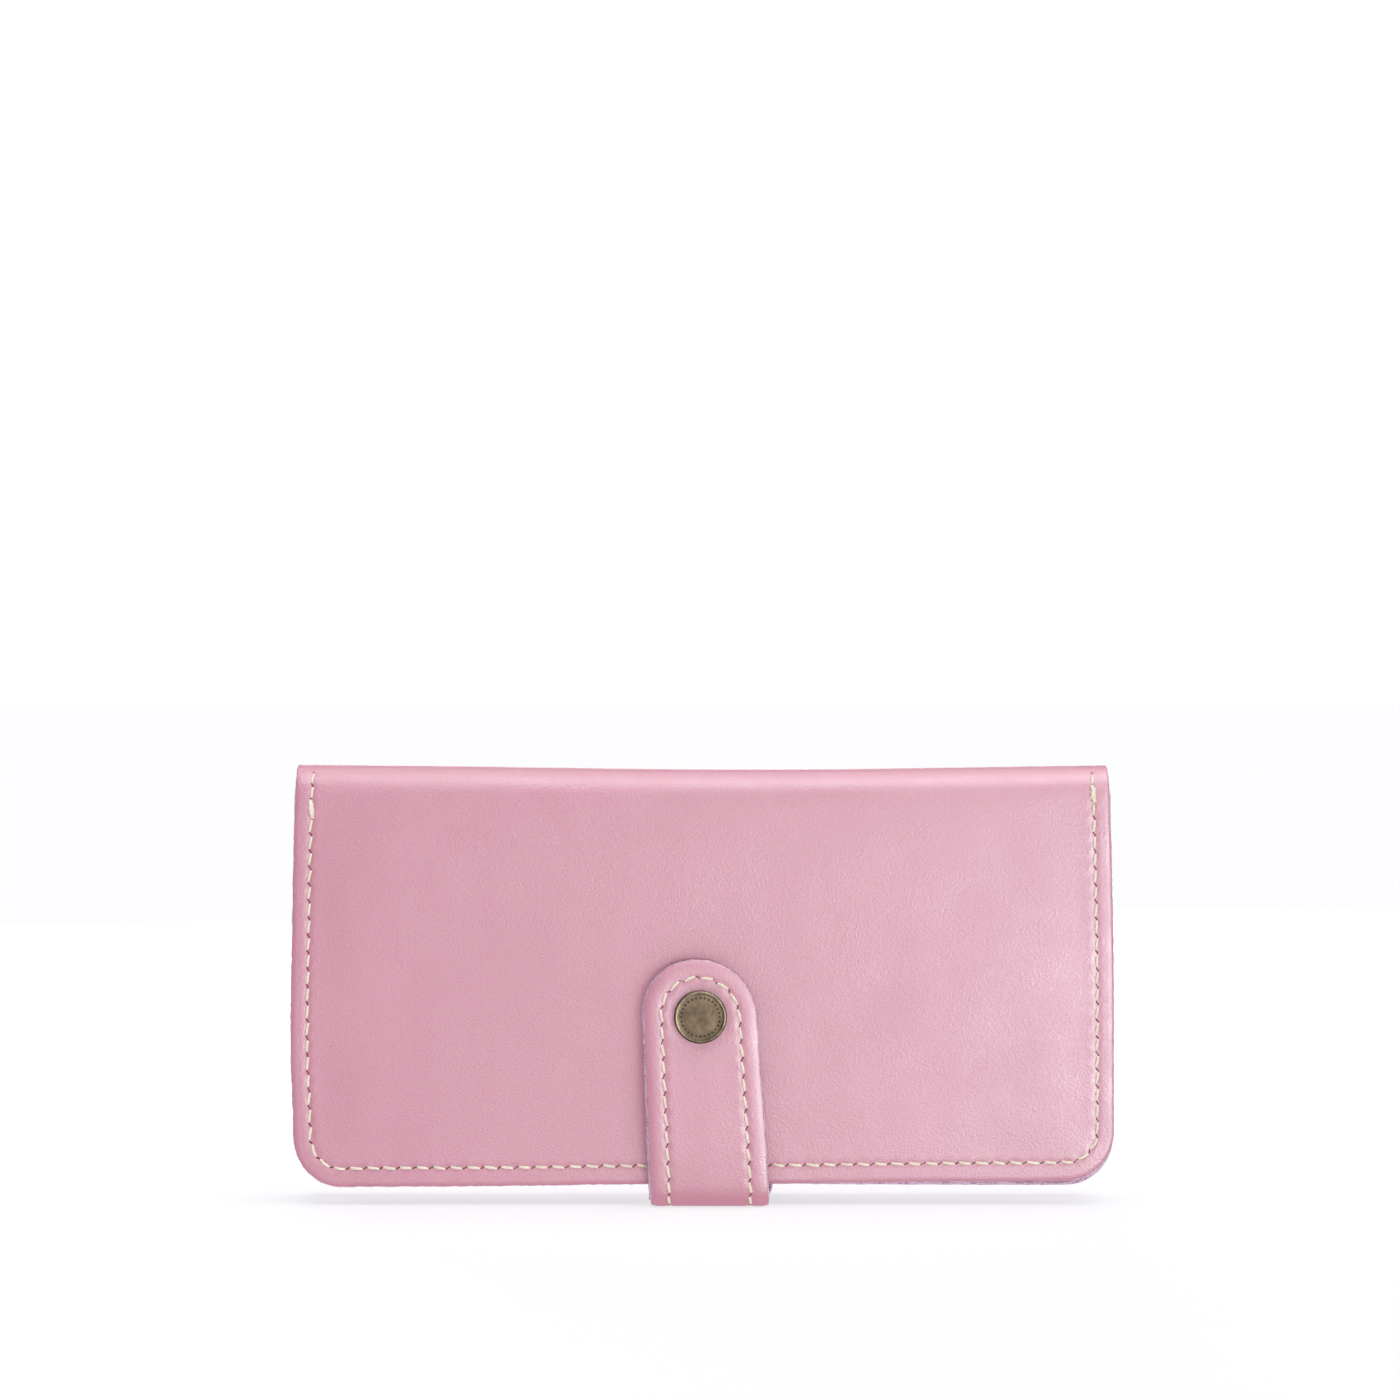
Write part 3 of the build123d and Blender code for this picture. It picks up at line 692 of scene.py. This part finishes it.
def relief(pattern, x, v, side_inset, end_inset, groove, pillow, seed, roll_width=0.42):
    """How far a sheet's face lies in (positive) or stands out, in millimetres: a groove along its seam that
    each stitch pulls deeper, a slight ridge beside it, a rounded edge, a middle that stands out by pillow,
    and slow waves."""
    edge = pattern.edge(x, v)
    near_end = smooth(pattern.length - pattern.radius - 8, pattern.length - 6, v)
    inset = side_inset + (end_inset - side_inset) * near_end
    off = edge - inset
    q = pattern.along(x, v, (side_inset + end_inset) / 2)
    pull = 0.70 + 0.30 * np.cos(2 * math.pi * q / PITCH)
    uneven = 1 + 0.25 * waves(x, v, seed, 17.0)
    line = groove * pull * uneven * np.exp(-((off / GROOVE_W) ** 2))
    pucker = PUCKER * np.cos(2 * math.pi * q / PITCH) * np.sin(np.clip(off / RIDGE_OFF, -1, 1) * math.pi)
    ridge = -RIDGE * np.exp(-(((np.abs(off) - RIDGE_OFF) / RIDGE_W) ** 2)) + pucker
    roll = ROLL * np.exp(-((np.maximum(edge, 0) / roll_width) ** 2))
    body = -pillow * smooth(4.5, 17.0, edge)
    slow = SLOW_WAVE * waves(x, v, seed + 1, 55.0) * smooth(2, 20, edge)
    return line + ridge + roll + body + (slow + SMALL_WAVE * waves(x, v, seed + 2, 14.0))


def hump(v, peak):
    """0 at v = 0, 1 at v = peak, and fading slowly beyond it."""
    share = np.maximum(v, 0) / peak
    return share**2 * np.exp(2 - 2 * share)


def ragged(x, v, seed):
    """A slight unevenness of an outline, in millimetres."""
    return 0.16 * waves(x, v, seed, 42.0) + 0.06 * waves(x, v, seed + 1, 9.0)


shell_pattern = Pattern(WIDTH, SHEET_L, CORNER_R)
SHOULDER, SHOULDER_V = 0.70, 8.0
SIDE_X, SIDE_BELLY, NARROWING, DRAWN_IN = 97.5, 0.45, 0.0055, 0.6
END_RISE, END_SLOPE = 0.05, 0.85
SAG, SAG_X, SAG_HALF_W, SAG_REACH = 1.25, 12.0, 72.0, 34.0


def shell_place(side):
    """The placing of one half of the outer shell: it leaves the fold gently, is slightly uneven along its
    sides and end, and sags a little in the middle of the fold."""
    seed = 40 + side

    def place(x, v, below):
        share = 1 - 0.8 * np.clip(below / SHELL_T, 0, 1)
        dent = relief(shell_pattern, x, v, SIDE_INSET, END_INSET, 0.24, 0.20, seed) * share
        dent = dent * (0.15 * smooth(0, 1.5, v) + 0.85 * smooth(2, 13, v))
        dent = dent + SHOULDER * hump(v, SHOULDER_V) * share
        wide = smooth(60, SIDE_X, np.abs(x))
        bulge = SIDE_BELLY * np.sin(np.clip(v / SHEET_L, 0, 1) * math.pi) * np.sign(x)
        narrow = 1 - NARROWING * (1 - smooth(0, 62, v))
        drawn_in = DRAWN_IN * smooth(70, 95, v) * (x < 0)
        flat_x = x * narrow + (bulge + ragged(x, v, seed) * np.sign(x) + drawn_in) * wide
        low = smooth(62, 102, v)
        flat_v = v + low * (-END_RISE - END_SLOPE * x / SIDE_X + ragged(x, v, seed + 5))
        points = shell_point(side, flat_x, flat_v, FOLD_R - below - dent)
        points[:, 2] -= SAG * np.exp(-(((x - SAG_X) / SAG_HALF_W) ** 2)) * (1 - smooth(0, SAG_REACH, v))
        return points
    return place


def blend_shell(piece, side):
    """Bakes a piece's placing into its mesh."""
    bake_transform(piece)


shell_flat, shell_faces = pattern_mesh(shell_pattern, BORDER, 1.0, 2.3, fine=20.0)
shell_seam = spots_along(shell_pattern)
seam_length = shell_pattern.seam_half(SIDE_INSET, END_INSET)
TACK_BULK, TACK_STEPS, TACK_DROPS = 1.6, (-0.7, 0.0, 0.7), ((1, 9.0), (-1, 12.0))
tacks = []
for sign, drop in TACK_DROPS:
    tack = min((q for q, _ in shell_seam if q > 0), key=lambda q: abs(q - (seam_length - drop)))
    tacks += [(sign * (tack + step), TACK_BULK) for step in TACK_STEPS]
for side, word, nodes in ((-1, "front", ("front_cover", "fold_crest")), (1, "back", ("back_cover",))):
    place = shell_place(side)
    shell = sheet(f"shell_{word}", shell_flat, shell_faces, place, SHELL_T, [outer_leather, raw_edge],
                  shell_pattern.edge, seed=11 + side, raw=None)
    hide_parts(*nodes)
    blend_shell(shell, side)
    stitches = stitching(f"seam_{word}", shell_seam + tacks, seam_frame(shell_pattern, place), seed=5 + side)
    blend_shell(stitches, side)


# ---- the closing strap ----

front_y = (STRAP_OUT - LOOP_R) * COS + BEND_DROP * SIN
rear_y = (ANCHOR_OUT - LOOP_R) * COS + REAR_BEND_DROP * SIN
middle_y = (rear_y - front_y) / 2
BEND_TURN = math.pi / 2 + FLARE
BEND_L = LOOP_R * BEND_TURN
UNDER_FRONT, UNDER_REAR = front_y + middle_y, rear_y - middle_y
FLAP_L, LEG_L = BEND_DROP - TIP_DROP, REAR_BEND_DROP - drop_for(ANCHOR_Z, ANCHOR_OUT)
LEAN = (SNAP_X - LOOP_X) / (BEND_DROP - SNAP_DROP)
REAR_LEAN = (ANCHOR_X - LOOP_X) / LEG_L
STRAP_INSET, LINING_SHIFT, REAR_SKEW = 4.0, 0.45, 1.5
TUCK, TUCK_V = 0.9, 6.0
SNAP_DENT, SNAP_DENT_W = 0.22, 1.1
STRAP_SEED = 61


def strap_path(side, x, v, below):
    """Points on the strap, from the middle of its underside (v = 0) round one bend and up one side. below is
    the distance under its outer face, which looks down, then outwards."""
    under = UNDER_FRONT if side < 0 else UNDER_REAR
    centre = front_y if side < 0 else rear_y
    turn = eased(np.maximum(v - under, 0) / LOOP_R, BEND_TURN)
    past = np.maximum(v - under, 0) - turn * LOOP_R
    lean = LEAN if side < 0 else REAR_LEAN
    at_x = LOOP_X + x + lean * past
    if side > 0:
        at_x = at_x + REAR_SKEW * smooth(0, under + BEND_L, v) * (1 - smooth(0, LEG_L, past))
    flat = np.stack([at_x, middle_y + side * v, below + 0 * v], -1)
    tuck = TUCK * hump(v - under, TUCK_V) * (side < 0)
    r = LOOP_R - below - tuck
    up = np.stack([at_x, side * (centre + r * np.sin(turn) - past * SIN),
                   LOOP_R - r * np.cos(turn) + past * COS], -1)
    return np.where((v < under)[..., None], flat, up)


flap_pattern = Pattern(STRAP_TIP_W, UNDER_FRONT + BEND_L + FLAP_L, STRAP_TIP_W / 2 - 0.02)
rear_pattern = Pattern(STRAP_LOOP_W, UNDER_REAR + BEND_L + LEG_L, 2.4)
SNAP_V = UNDER_FRONT + BEND_L + BEND_DROP - SNAP_DROP


def strap_place(side, base=0.0, thickness=STRAP_T, faced=True):
    """The placing of one layer of the strap, whose outer face is base below the strap's. faced is False for
    the lining, whose good side is its inner face."""
    pattern = flap_pattern if side < 0 else rear_pattern

    def place(x, v, below):
        share = 1 - 0.85 * np.clip(below / thickness, 0, 1)
        if not faced:
            share = 0.25 * np.clip(below / thickness, 0, 1)
        dent = relief(pattern, x, v, STRAP_INSET, STRAP_INSET, 0.22, 0.10, STRAP_SEED, 0.75)
        if side < 0:
            from_snap = np.hypot(x - SNAP_X, v - SNAP_V)
            dent = dent + SNAP_DENT * np.exp(-(((from_snap - CAP_R) / SNAP_DENT_W) ** 2))
        widen = STRAP_LOOP_W / STRAP_TIP_W - 1 if side < 0 else 0.0
        taper = 1 + widen * (1 - smooth(UNDER_FRONT, pattern.length, v))
        wander = ragged(x, v, STRAP_SEED) * np.sign(x) * smooth(8, 13, np.abs(x))
        if not faced:
            dent = -dent
            wander = wander - LINING_SHIFT
        points = strap_path(side, x * taper + wander, v, base + below + dent * share)
        points[:, 2] = np.maximum(points[:, 2], 0.0)
        return points
    return place


def inner_side(x, v, below):
    """Points on the inner face of the flap's lining. What is above it has a negative depth, as outside."""
    return strap_path(-1, x, v, STRAP_ALL - below)


LAYER_GAP = 0.02
STRAP_BORDER = (0.0, 0.25, 0.6, 1.1, 1.8, 2.5, 3.1, 3.6, 4.0, 4.4, 4.9, 5.5, 6.2)
for side, word, pattern in ((-1, "flap", flap_pattern), (1, "anchor", rear_pattern)):
    flat, faces = pattern_mesh(pattern, STRAP_BORDER, 0.9, 1.2)
    place, lining_place = strap_place(side), strap_place(side, STRAP_T + LAYER_GAP, STRAP_LINING_T, False)
    outer = sheet(f"strap_{word}_outer", flat, faces, place, STRAP_T, [outer_leather, raw_edge],
                  pattern.edge, fuzz=0.10, seed=21 + side)
    inner = sheet(f"strap_{word}_lining", flat, faces, lining_place, STRAP_LINING_T - LAYER_GAP,
                  [inner_leather, inner_edge], pattern.edge, fuzz=0.13, seed=31 + side, raw="outer")
    spots = spots_along(pattern, STRAP_INSET, STRAP_INSET, margin=0.5)
    sewn = stitching(f"strap_{word}_seam", spots, seam_frame(pattern, place, STRAP_INSET, STRAP_INSET),
                     seed=15 + side)
    layers = [(outer, "outer_leather"), (inner, "inner_leather"), (sewn, "thread")]
    if side < 0:
        names = (("strap_flap", "strap_bend"), ("strap_flap_lining", "strap_bend_lining"),
                 ("strap_flap_thread",))
        inner_frame = seam_frame(pattern, inner_side, STRAP_INSET, STRAP_INSET)
        layers.append((stitching("strap_flap_inner_seam", spots, inner_frame, (7, 7), seed=19), "thread"))
    else:
        names = (("strap_anchor",), ("strap_anchor_lining",), ("strap_anchor_thread",))
    for piece, slot in layers:
        if side < 0:
            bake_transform(piece)
        else:
            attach(piece, "back_half")
    for (piece, _), replaced in zip(layers, names):
        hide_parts(*replaced)


# ---- the snap ----

def lathe(name, profile, materials, picks, centre_drop, sides=128):
    """A turned piece on the snap's axis. profile holds (radius, depth outwards in the front's frame)."""
    vertices, faces = [], tube_faces(len(profile), sides)
    chosen = [pick for pick in picks for _ in range(sides)]
    for r, depth in profile:
        for j in range(sides):
            a = 2 * math.pi * j / sides
            x, drop = SNAP_X + r * math.cos(a), centre_drop - r * math.sin(a)
            vertices.append(half_point(-1, np.array([x]), depth, np.array([drop]))[0])
    for row in (0, len(profile) - 1):
        faces.append([row * sides + j for j in range(sides)])
        chosen.append(picks[min(row, len(picks) - 1)])
    obj = new_object(name, np.array(vertices), faces, materials, chosen)
    fix_normals(obj)
    return obj


CAP_RISE = 1.5
# (radius, distance below the rim's top) on the face and side, then (radius, height over the strap) below.
cap_face = [(0.02, 0.06), (1.5, 0.06), (3.0, 0.08), (4.6, 0.12), (5.15, 0.13), (5.4, 0.11), (5.6, 0.05),
            (5.78, 0.0), (5.95, 0.04), (6.08, 0.16), (6.2, 0.38), (6.25, 0.7), (6.22, 1.0), (6.1, 1.25)]
cap_foot = [(5.9, 0.12), (5.6, 0.0), (2.0, 0.0), (1.9, -0.9)]
cap_profile = [(r, CAP_RISE - below) for r, below in cap_face] + cap_foot
# The rows picked 1 are the rim, which takes the painted highlight.
cap_picks = [0] * 6 + [1] * 4 + [0] * 7
cap = lathe("snap_cap_disc", [(r, STRAP_OUT + rise) for r, rise in cap_profile], [brass, brass_rim_highlight],
            cap_picks, SNAP_DROP)
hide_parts("snap_cap")
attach(cap, "closing_tab")


DOTS, DOT_SIDES, DOT_RING_R, DOT_R = 28, 8, 4.55, 0.31


def cap_marks():
    """A ring of small punched dots round the cap's face."""
    vertices, faces = [], []
    for n in range(DOTS):
        a = 2 * math.pi * n / DOTS
        x, drop = SNAP_X + DOT_RING_R * math.cos(a), SNAP_DROP + DOT_RING_R * math.sin(a)
        base = len(vertices)
        for j in range(DOT_SIDES):
            b = 2 * math.pi * j / DOT_SIDES
            spot = half_point(-1, np.array([x + DOT_R * math.cos(b)]), STRAP_OUT + CAP_RISE - 0.105,
                              np.array([drop + DOT_R * math.sin(b)]))
            vertices.append(spot[0])
        faces.append([base + j for j in range(DOT_SIDES)])
    return new_object("snap_cap_dots", np.array(vertices), faces, [brass_mark])


dots = cap_marks()
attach(dots, "closing_tab")


# ---- inside the front half ----

PANEL_BORDER = (0.0, 0.35, 1.0, 2.2, 3.3, 4.0, 4.7, 6.0)


def panel_sheet(name, pattern, place, thickness, replaced, body, looks, holes=(), insets=PANEL_BORDER,
                seed=1, middle=3.0):
    """A flat sheet inside the wallet, which moves with one body and stands for its CAD nodes."""
    flat, faces = pattern_mesh(pattern, insets, 1.8, middle, holes)
    piece = sheet(name, flat, faces, place, thickness, looks, pattern.edge, 0.10, seed)
    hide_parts(*replaced)
    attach(piece, body)
    return piece


PEEK = 0.30
zip_pattern = Pattern(WIDTH, PANEL_L - TOP_MOUTH, CORNER_R)


def zip_panel_place(x, v, below):
    beside = np.minimum(np.minimum(WIDTH / 2 - np.abs(x), v), zip_pattern.length - v)
    rise = RAISE * smooth(RAISE_MARGIN - 1, RAISE_MARGIN + RAISE_RUN + 1, beside)
    share = 1 - 0.8 * np.clip(below / PANEL_T, 0, 1)
    dent = relief(zip_pattern, x, v, SIDE_INSET, END_INSET, 0.25, 0.0, 77) * share
    peek = PEEK * smooth(60, 97, x) * smooth(40, 90, v)
    at_x, at_v = x + peek, v + PEEK * smooth(-20, 90, x) * smooth(60, 92, v)
    return half_point(-1, at_x, RIM_IN - PANEL_T - rise + dent + below, TOP_MOUTH + at_v)


def stadium(length, height, centre_v, spacing=1.3):
    """A slot's outline, as a closed loop of (x, v), and what lies inside it."""
    r = height / 2
    straight = length / 2 - r
    count = max(2, round(2 * straight / spacing))
    turns = [math.pi * n / 12 for n in range(12)]
    loop = [(-straight + 2 * straight * n / count, centre_v - r) for n in range(count)]
    loop += [(straight + r * math.sin(t), centre_v - r * math.cos(t)) for t in turns]
    loop += [(straight - 2 * straight * n / count, centre_v + r) for n in range(count)]
    loop += [(-straight - r * math.sin(t), centre_v + r * math.cos(t)) for t in turns]

    def inside(x, v, margin):
        return math.hypot(max(abs(x) - straight, 0), v - centre_v) < r + margin
    return loop, inside


window = stadium(WINDOW_L, WINDOW_H, ZIP_DROP - TOP_MOUTH)
panel_sheet("zip_panel_leather", zip_pattern, zip_panel_place, PANEL_T, ("zip_panel",), "front_half",
            [inner_leather, inner_edge], [window], seed=41)
lining_pattern = Pattern(WIDTH - 0.8, PANEL_L - TOP_MOUTH - 0.4, CORNER_R)
lining = panel_sheet("coin_lining_cloth", lining_pattern,
                     lambda x, v, below: half_point(-1, x, RIM_IN + 0.05 + below, TOP_MOUTH + v), 0.28,
                     ("coin_lining",), "front_half", [cotton, cotton], insets=(0.0, 1.5, 4.0),
                     middle=6.0)

TAPE_L, TAPE_W, TAPE_T, TAPE_GAP = 172.0, 9.0, 0.5, 0.9
TAPE_DEPTH = RIM_IN - RAISE
for sign, word in ((-1, "upper"), (1, "lower")):
    tape_pattern = Pattern(TAPE_W, TAPE_L, 0.4)

    def tape_place(x, v, below, sign=sign):
        drop = ZIP_DROP + sign * (TAPE_GAP + TAPE_W / 2) + x
        return half_point(-1, v - TAPE_L / 2, TAPE_DEPTH + below, drop)
    panel_sheet(f"tape_{word}", tape_pattern, tape_place, TAPE_T, (f"zip_tape_{word}",), "front_half",
                [tape_cloth, tape_cloth], insets=(0.0, 0.2), middle=1.5)


def inner_seam(name, spots, centre_of, seed, node, body):
    """A seam inside the wallet, which moves with one body and stands for one CAD node."""
    seam = stitching(name, spots, centre_of, (6, 6), 0.30, seed, holes=False)
    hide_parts(node)
    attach(seam, body)


inner_seam("seam_front_inside", spots_along(zip_pattern), seam_frame(zip_pattern, zip_panel_place), 25,
           "front_seam_thread", "front_half")

WINDOW_LINE = 2.4
WINDOW_STRAIGHT, WINDOW_TURN = WINDOW_L / 2 - WINDOW_H / 2, WINDOW_H / 2 + WINDOW_LINE
WINDOW_ROUND = 4 * WINDOW_STRAIGHT + 2 * math.pi * WINDOW_TURN


def window_frame(local):
    """(q, across, up) round the window's line of stitches, from its left end along the top."""
    straight, r = WINDOW_STRAIGHT, WINDOW_TURN
    points = []
    for q, across, up in local:
        q = q % WINDOW_ROUND
        reach = r + across
        if q < 2 * straight:
            x, v = -straight + q, -reach
        elif q < 2 * straight + math.pi * r:
            t = (q - 2 * straight) / r
            x, v = straight + reach * math.sin(t), -reach * math.cos(t)
        elif q < 4 * straight + math.pi * r:
            x, v = straight - (q - 2 * straight - math.pi * r), reach
        else:
            t = (q - 4 * straight - math.pi * r) / r
            x, v = -straight - reach * math.sin(t), reach * math.cos(t)
        points.append((x, v + ZIP_DROP - TOP_MOUTH, up))
    points = np.array(points)
    return zip_panel_place(points[:, 0], points[:, 1], -points[:, 2])


window_count = round(WINDOW_ROUND / PITCH)
window_spots = [(WINDOW_ROUND * n / window_count, 1.0) for n in range(window_count)]
inner_seam("seam_zip_window", window_spots, window_frame, 28, "zip_window_thread", "front_half")


# ---- inside the back half ----

def tier_drop(n):
    return PANEL_L - FIRST_MOUTH - (n - 1) * TIER_STEP


def tier_face(n):
    return COVER_IN - BILL_T - (TIERS - n + 1) * TIER_T


def back_panel_place(pattern, drop, face, thickness, notch):
    def place(x, v, below):
        reach = np.maximum(notch ** 2 - (np.abs(x) - WIDTH / 4) ** 2, 0) ** 0.5
        at_v = v + reach * np.clip(1 - v / 18, 0, 1)
        share = 1 - 0.8 * np.clip(below / thickness, 0, 1)
        edge = pattern.edge(x, v)
        roll = 0.15 * np.exp(-((np.maximum(np.minimum(edge, v), 0) / 0.5) ** 2))
        divider = 0.16 * np.exp(-((x / 0.9) ** 2)) * (notch > 0)
        dent = (roll + divider + 0.04 * waves(x, v, round(drop), 30.0)) * share
        return half_point(1, x, face + below + dent, drop + at_v)
    return place


back_layers = [("bill_panel", BILL_MOUTH, COVER_IN - BILL_T, BILL_T, 0.0)]
back_layers += [(f"card_tier_{n}", tier_drop(n), tier_face(n), TIER_T, 7.5) for n in range(TIERS, 0, -1)]
for n, (node, drop, face, thickness, notch) in enumerate(back_layers):
    pattern = Pattern(WIDTH, PANEL_L - drop, CORNER_R)
    panel_sheet(f"{node}_leather", pattern, back_panel_place(pattern, drop, face, thickness, notch),
                thickness - 0.03, (node,), "back_half", [inner_leather, inner_edge],
                seed=51 + n, middle=2.4)


def back_face(drop):
    """The depth of the back half's visible inner face at a drop."""
    faces = [face for _, mouth, face, _, _ in back_layers if mouth <= drop]
    return faces[-1] if faces else COVER_IN


back_pattern = Pattern(WIDTH, PANEL_L, CORNER_R, near=BILL_MOUTH)


def back_inner_place(x, v, below):
    depth = np.array([back_face(drop) for drop in v])
    return half_point(1, x, depth + below, v)


inner_seam("seam_back_inside", spots_along(back_pattern), seam_frame(back_pattern, back_inner_place), 26,
           "back_seam_thread", "back_half")


def divider_frame(local):
    return back_inner_place(local[:, 1], local[:, 0], -local[:, 2])


top_drop = tier_drop(TIERS) + 2.0
divider_count = round((PANEL_L - END_INSET - top_drop) / PITCH) - 1
divider_spots = [(top_drop + (n + 0.5) * PITCH, 1.0) for n in range(divider_count)]
inner_seam("seam_card_divider", divider_spots, divider_frame, 27, "card_divider_thread", "back_half")


# ---- metal pieces that keep their CAD shape ----

for node, obj in frame["nodes"].items():
    look = None
    if node.startswith(("zip_teeth", "zip_top", "zip_bottom", "zip_slider", "zip_pull")):
        look = zip_metal
    elif node in ("snap_socket", "snap_spring", "snap_stud", "snap_post"):
        look = brass
    if look:
        obj.data.materials.clear()
        obj.data.materials.append(look)


# ---- stage, light and camera ----

def floor():
    """A white surface that gives off some light of its own, so that shadows on it stay pale."""
    made, _, shader = material("floor_white")
    shader.inputs["Base Color"].default_value = (0.32, 0.32, 0.325, 1)
    shader.inputs["Emission Color"].default_value = (0.975, 0.98, 1.0, 1)
    shader.inputs["Emission Strength"].default_value = 0.68
    shader.inputs["Roughness"].default_value = 1.0
    shader.inputs["Specular IOR Level"].default_value = 0.0
    reach = 90e3
    corners = [(-reach, -reach, 0), (reach, -reach, 0), (reach, reach, 0), (-reach, reach, 0)]
    obj = new_object("floor", corners, [[0, 1, 2, 3]], [made])
    obj.visible_glossy = obj.visible_shadow = False


def aim(obj, place, target):
    obj.location = place
    direction = np.array(target) - np.array(place)
    obj.rotation_euler = Vector(direction).to_track_quat("-Z", "Y").to_euler()


def lamp(name, kind, energy, place, target, size=None, angle=None, colour=(1, 1, 1)):
    data = bpy.data.lights.new(name, kind)
    data.energy = energy
    data.color = colour
    if size:
        data.shape = "RECTANGLE"
        data.size, data.size_y = size
    if angle:
        data.angle = math.radians(angle)
    obj = bpy.data.objects.new(name, data)
    bpy.context.scene.collection.objects.link(obj)
    aim(obj, place, target)
    return obj


def world():
    """A white surround, dimmer as a light than as a background or in a reflection."""
    made = bpy.data.worlds.new("studio")
    made.use_nodes = True
    tree = made.node_tree
    background = tree.nodes["Background"]
    background.inputs["Color"].default_value = (1.0, 1.0, 1.0, 1)
    path = tree.nodes.new("ShaderNodeLightPath")
    seen = tree.nodes.new("ShaderNodeMath")
    seen.operation = "MULTIPLY_ADD"
    link(tree, path.outputs["Is Glossy Ray"], seen.inputs[0])
    seen.inputs[1].default_value = 0.45
    link(tree, path.outputs["Is Camera Ray"], seen.inputs[2])
    link(tree, spread(tree, seen.outputs[0], 0.0, 1.0, 0.27, 1.02), background.inputs["Strength"])
    bpy.context.scene.world = made


floor()
world()
lamp("sky", "SUN", 2.3, (0.20, -0.05, 1.5), (0, 0, 0), angle=60)
lamp("window", "AREA", 2.1, (0.14, -0.90, 0.05), (0.02, 0, 0.03), size=(0.60, 0.08))
lamp("window_behind", "AREA", 5.5, (-0.20, 0.95, 0.30), (0, 0, 0.05), size=(0.80, 0.40))
# Lamps that show only in reflections, and give the leather its soft whitish shine.
SHINE_COLOUR, SHINE_TARGET = (0.76, 1.0, 0.97), (0.04, 0, 0.06)
for name, energy, place, size in (("shine", 14.0, (0.59, -0.86, 0.02), (0.50, 0.50)),
                                  ("shine_low", 1.5, (0.08, -0.86, -0.22), (0.80, 0.24)),
                                  ("shine_top", 10.0, (0.20, -0.42, 0.72), (1.10, 0.40))):
    shine = lamp(name, "AREA", energy, place, SHINE_TARGET, size, colour=SHINE_COLOUR)
    shine.visible_diffuse = False

camera = bpy.data.cameras.new("camera")
camera.sensor_width = 36.0
camera.lens = 86.4
camera.clip_start = 0.01
view = bpy.data.objects.new("camera", camera)
view.location = (-0.0006, -0.808, 0.1200)
view.rotation_euler = (math.pi / 2, 0, 0)
bpy.context.scene.collection.objects.link(view)
bpy.context.scene.camera = view
bpy.context.scene.view_settings.view_transform = "Standard"
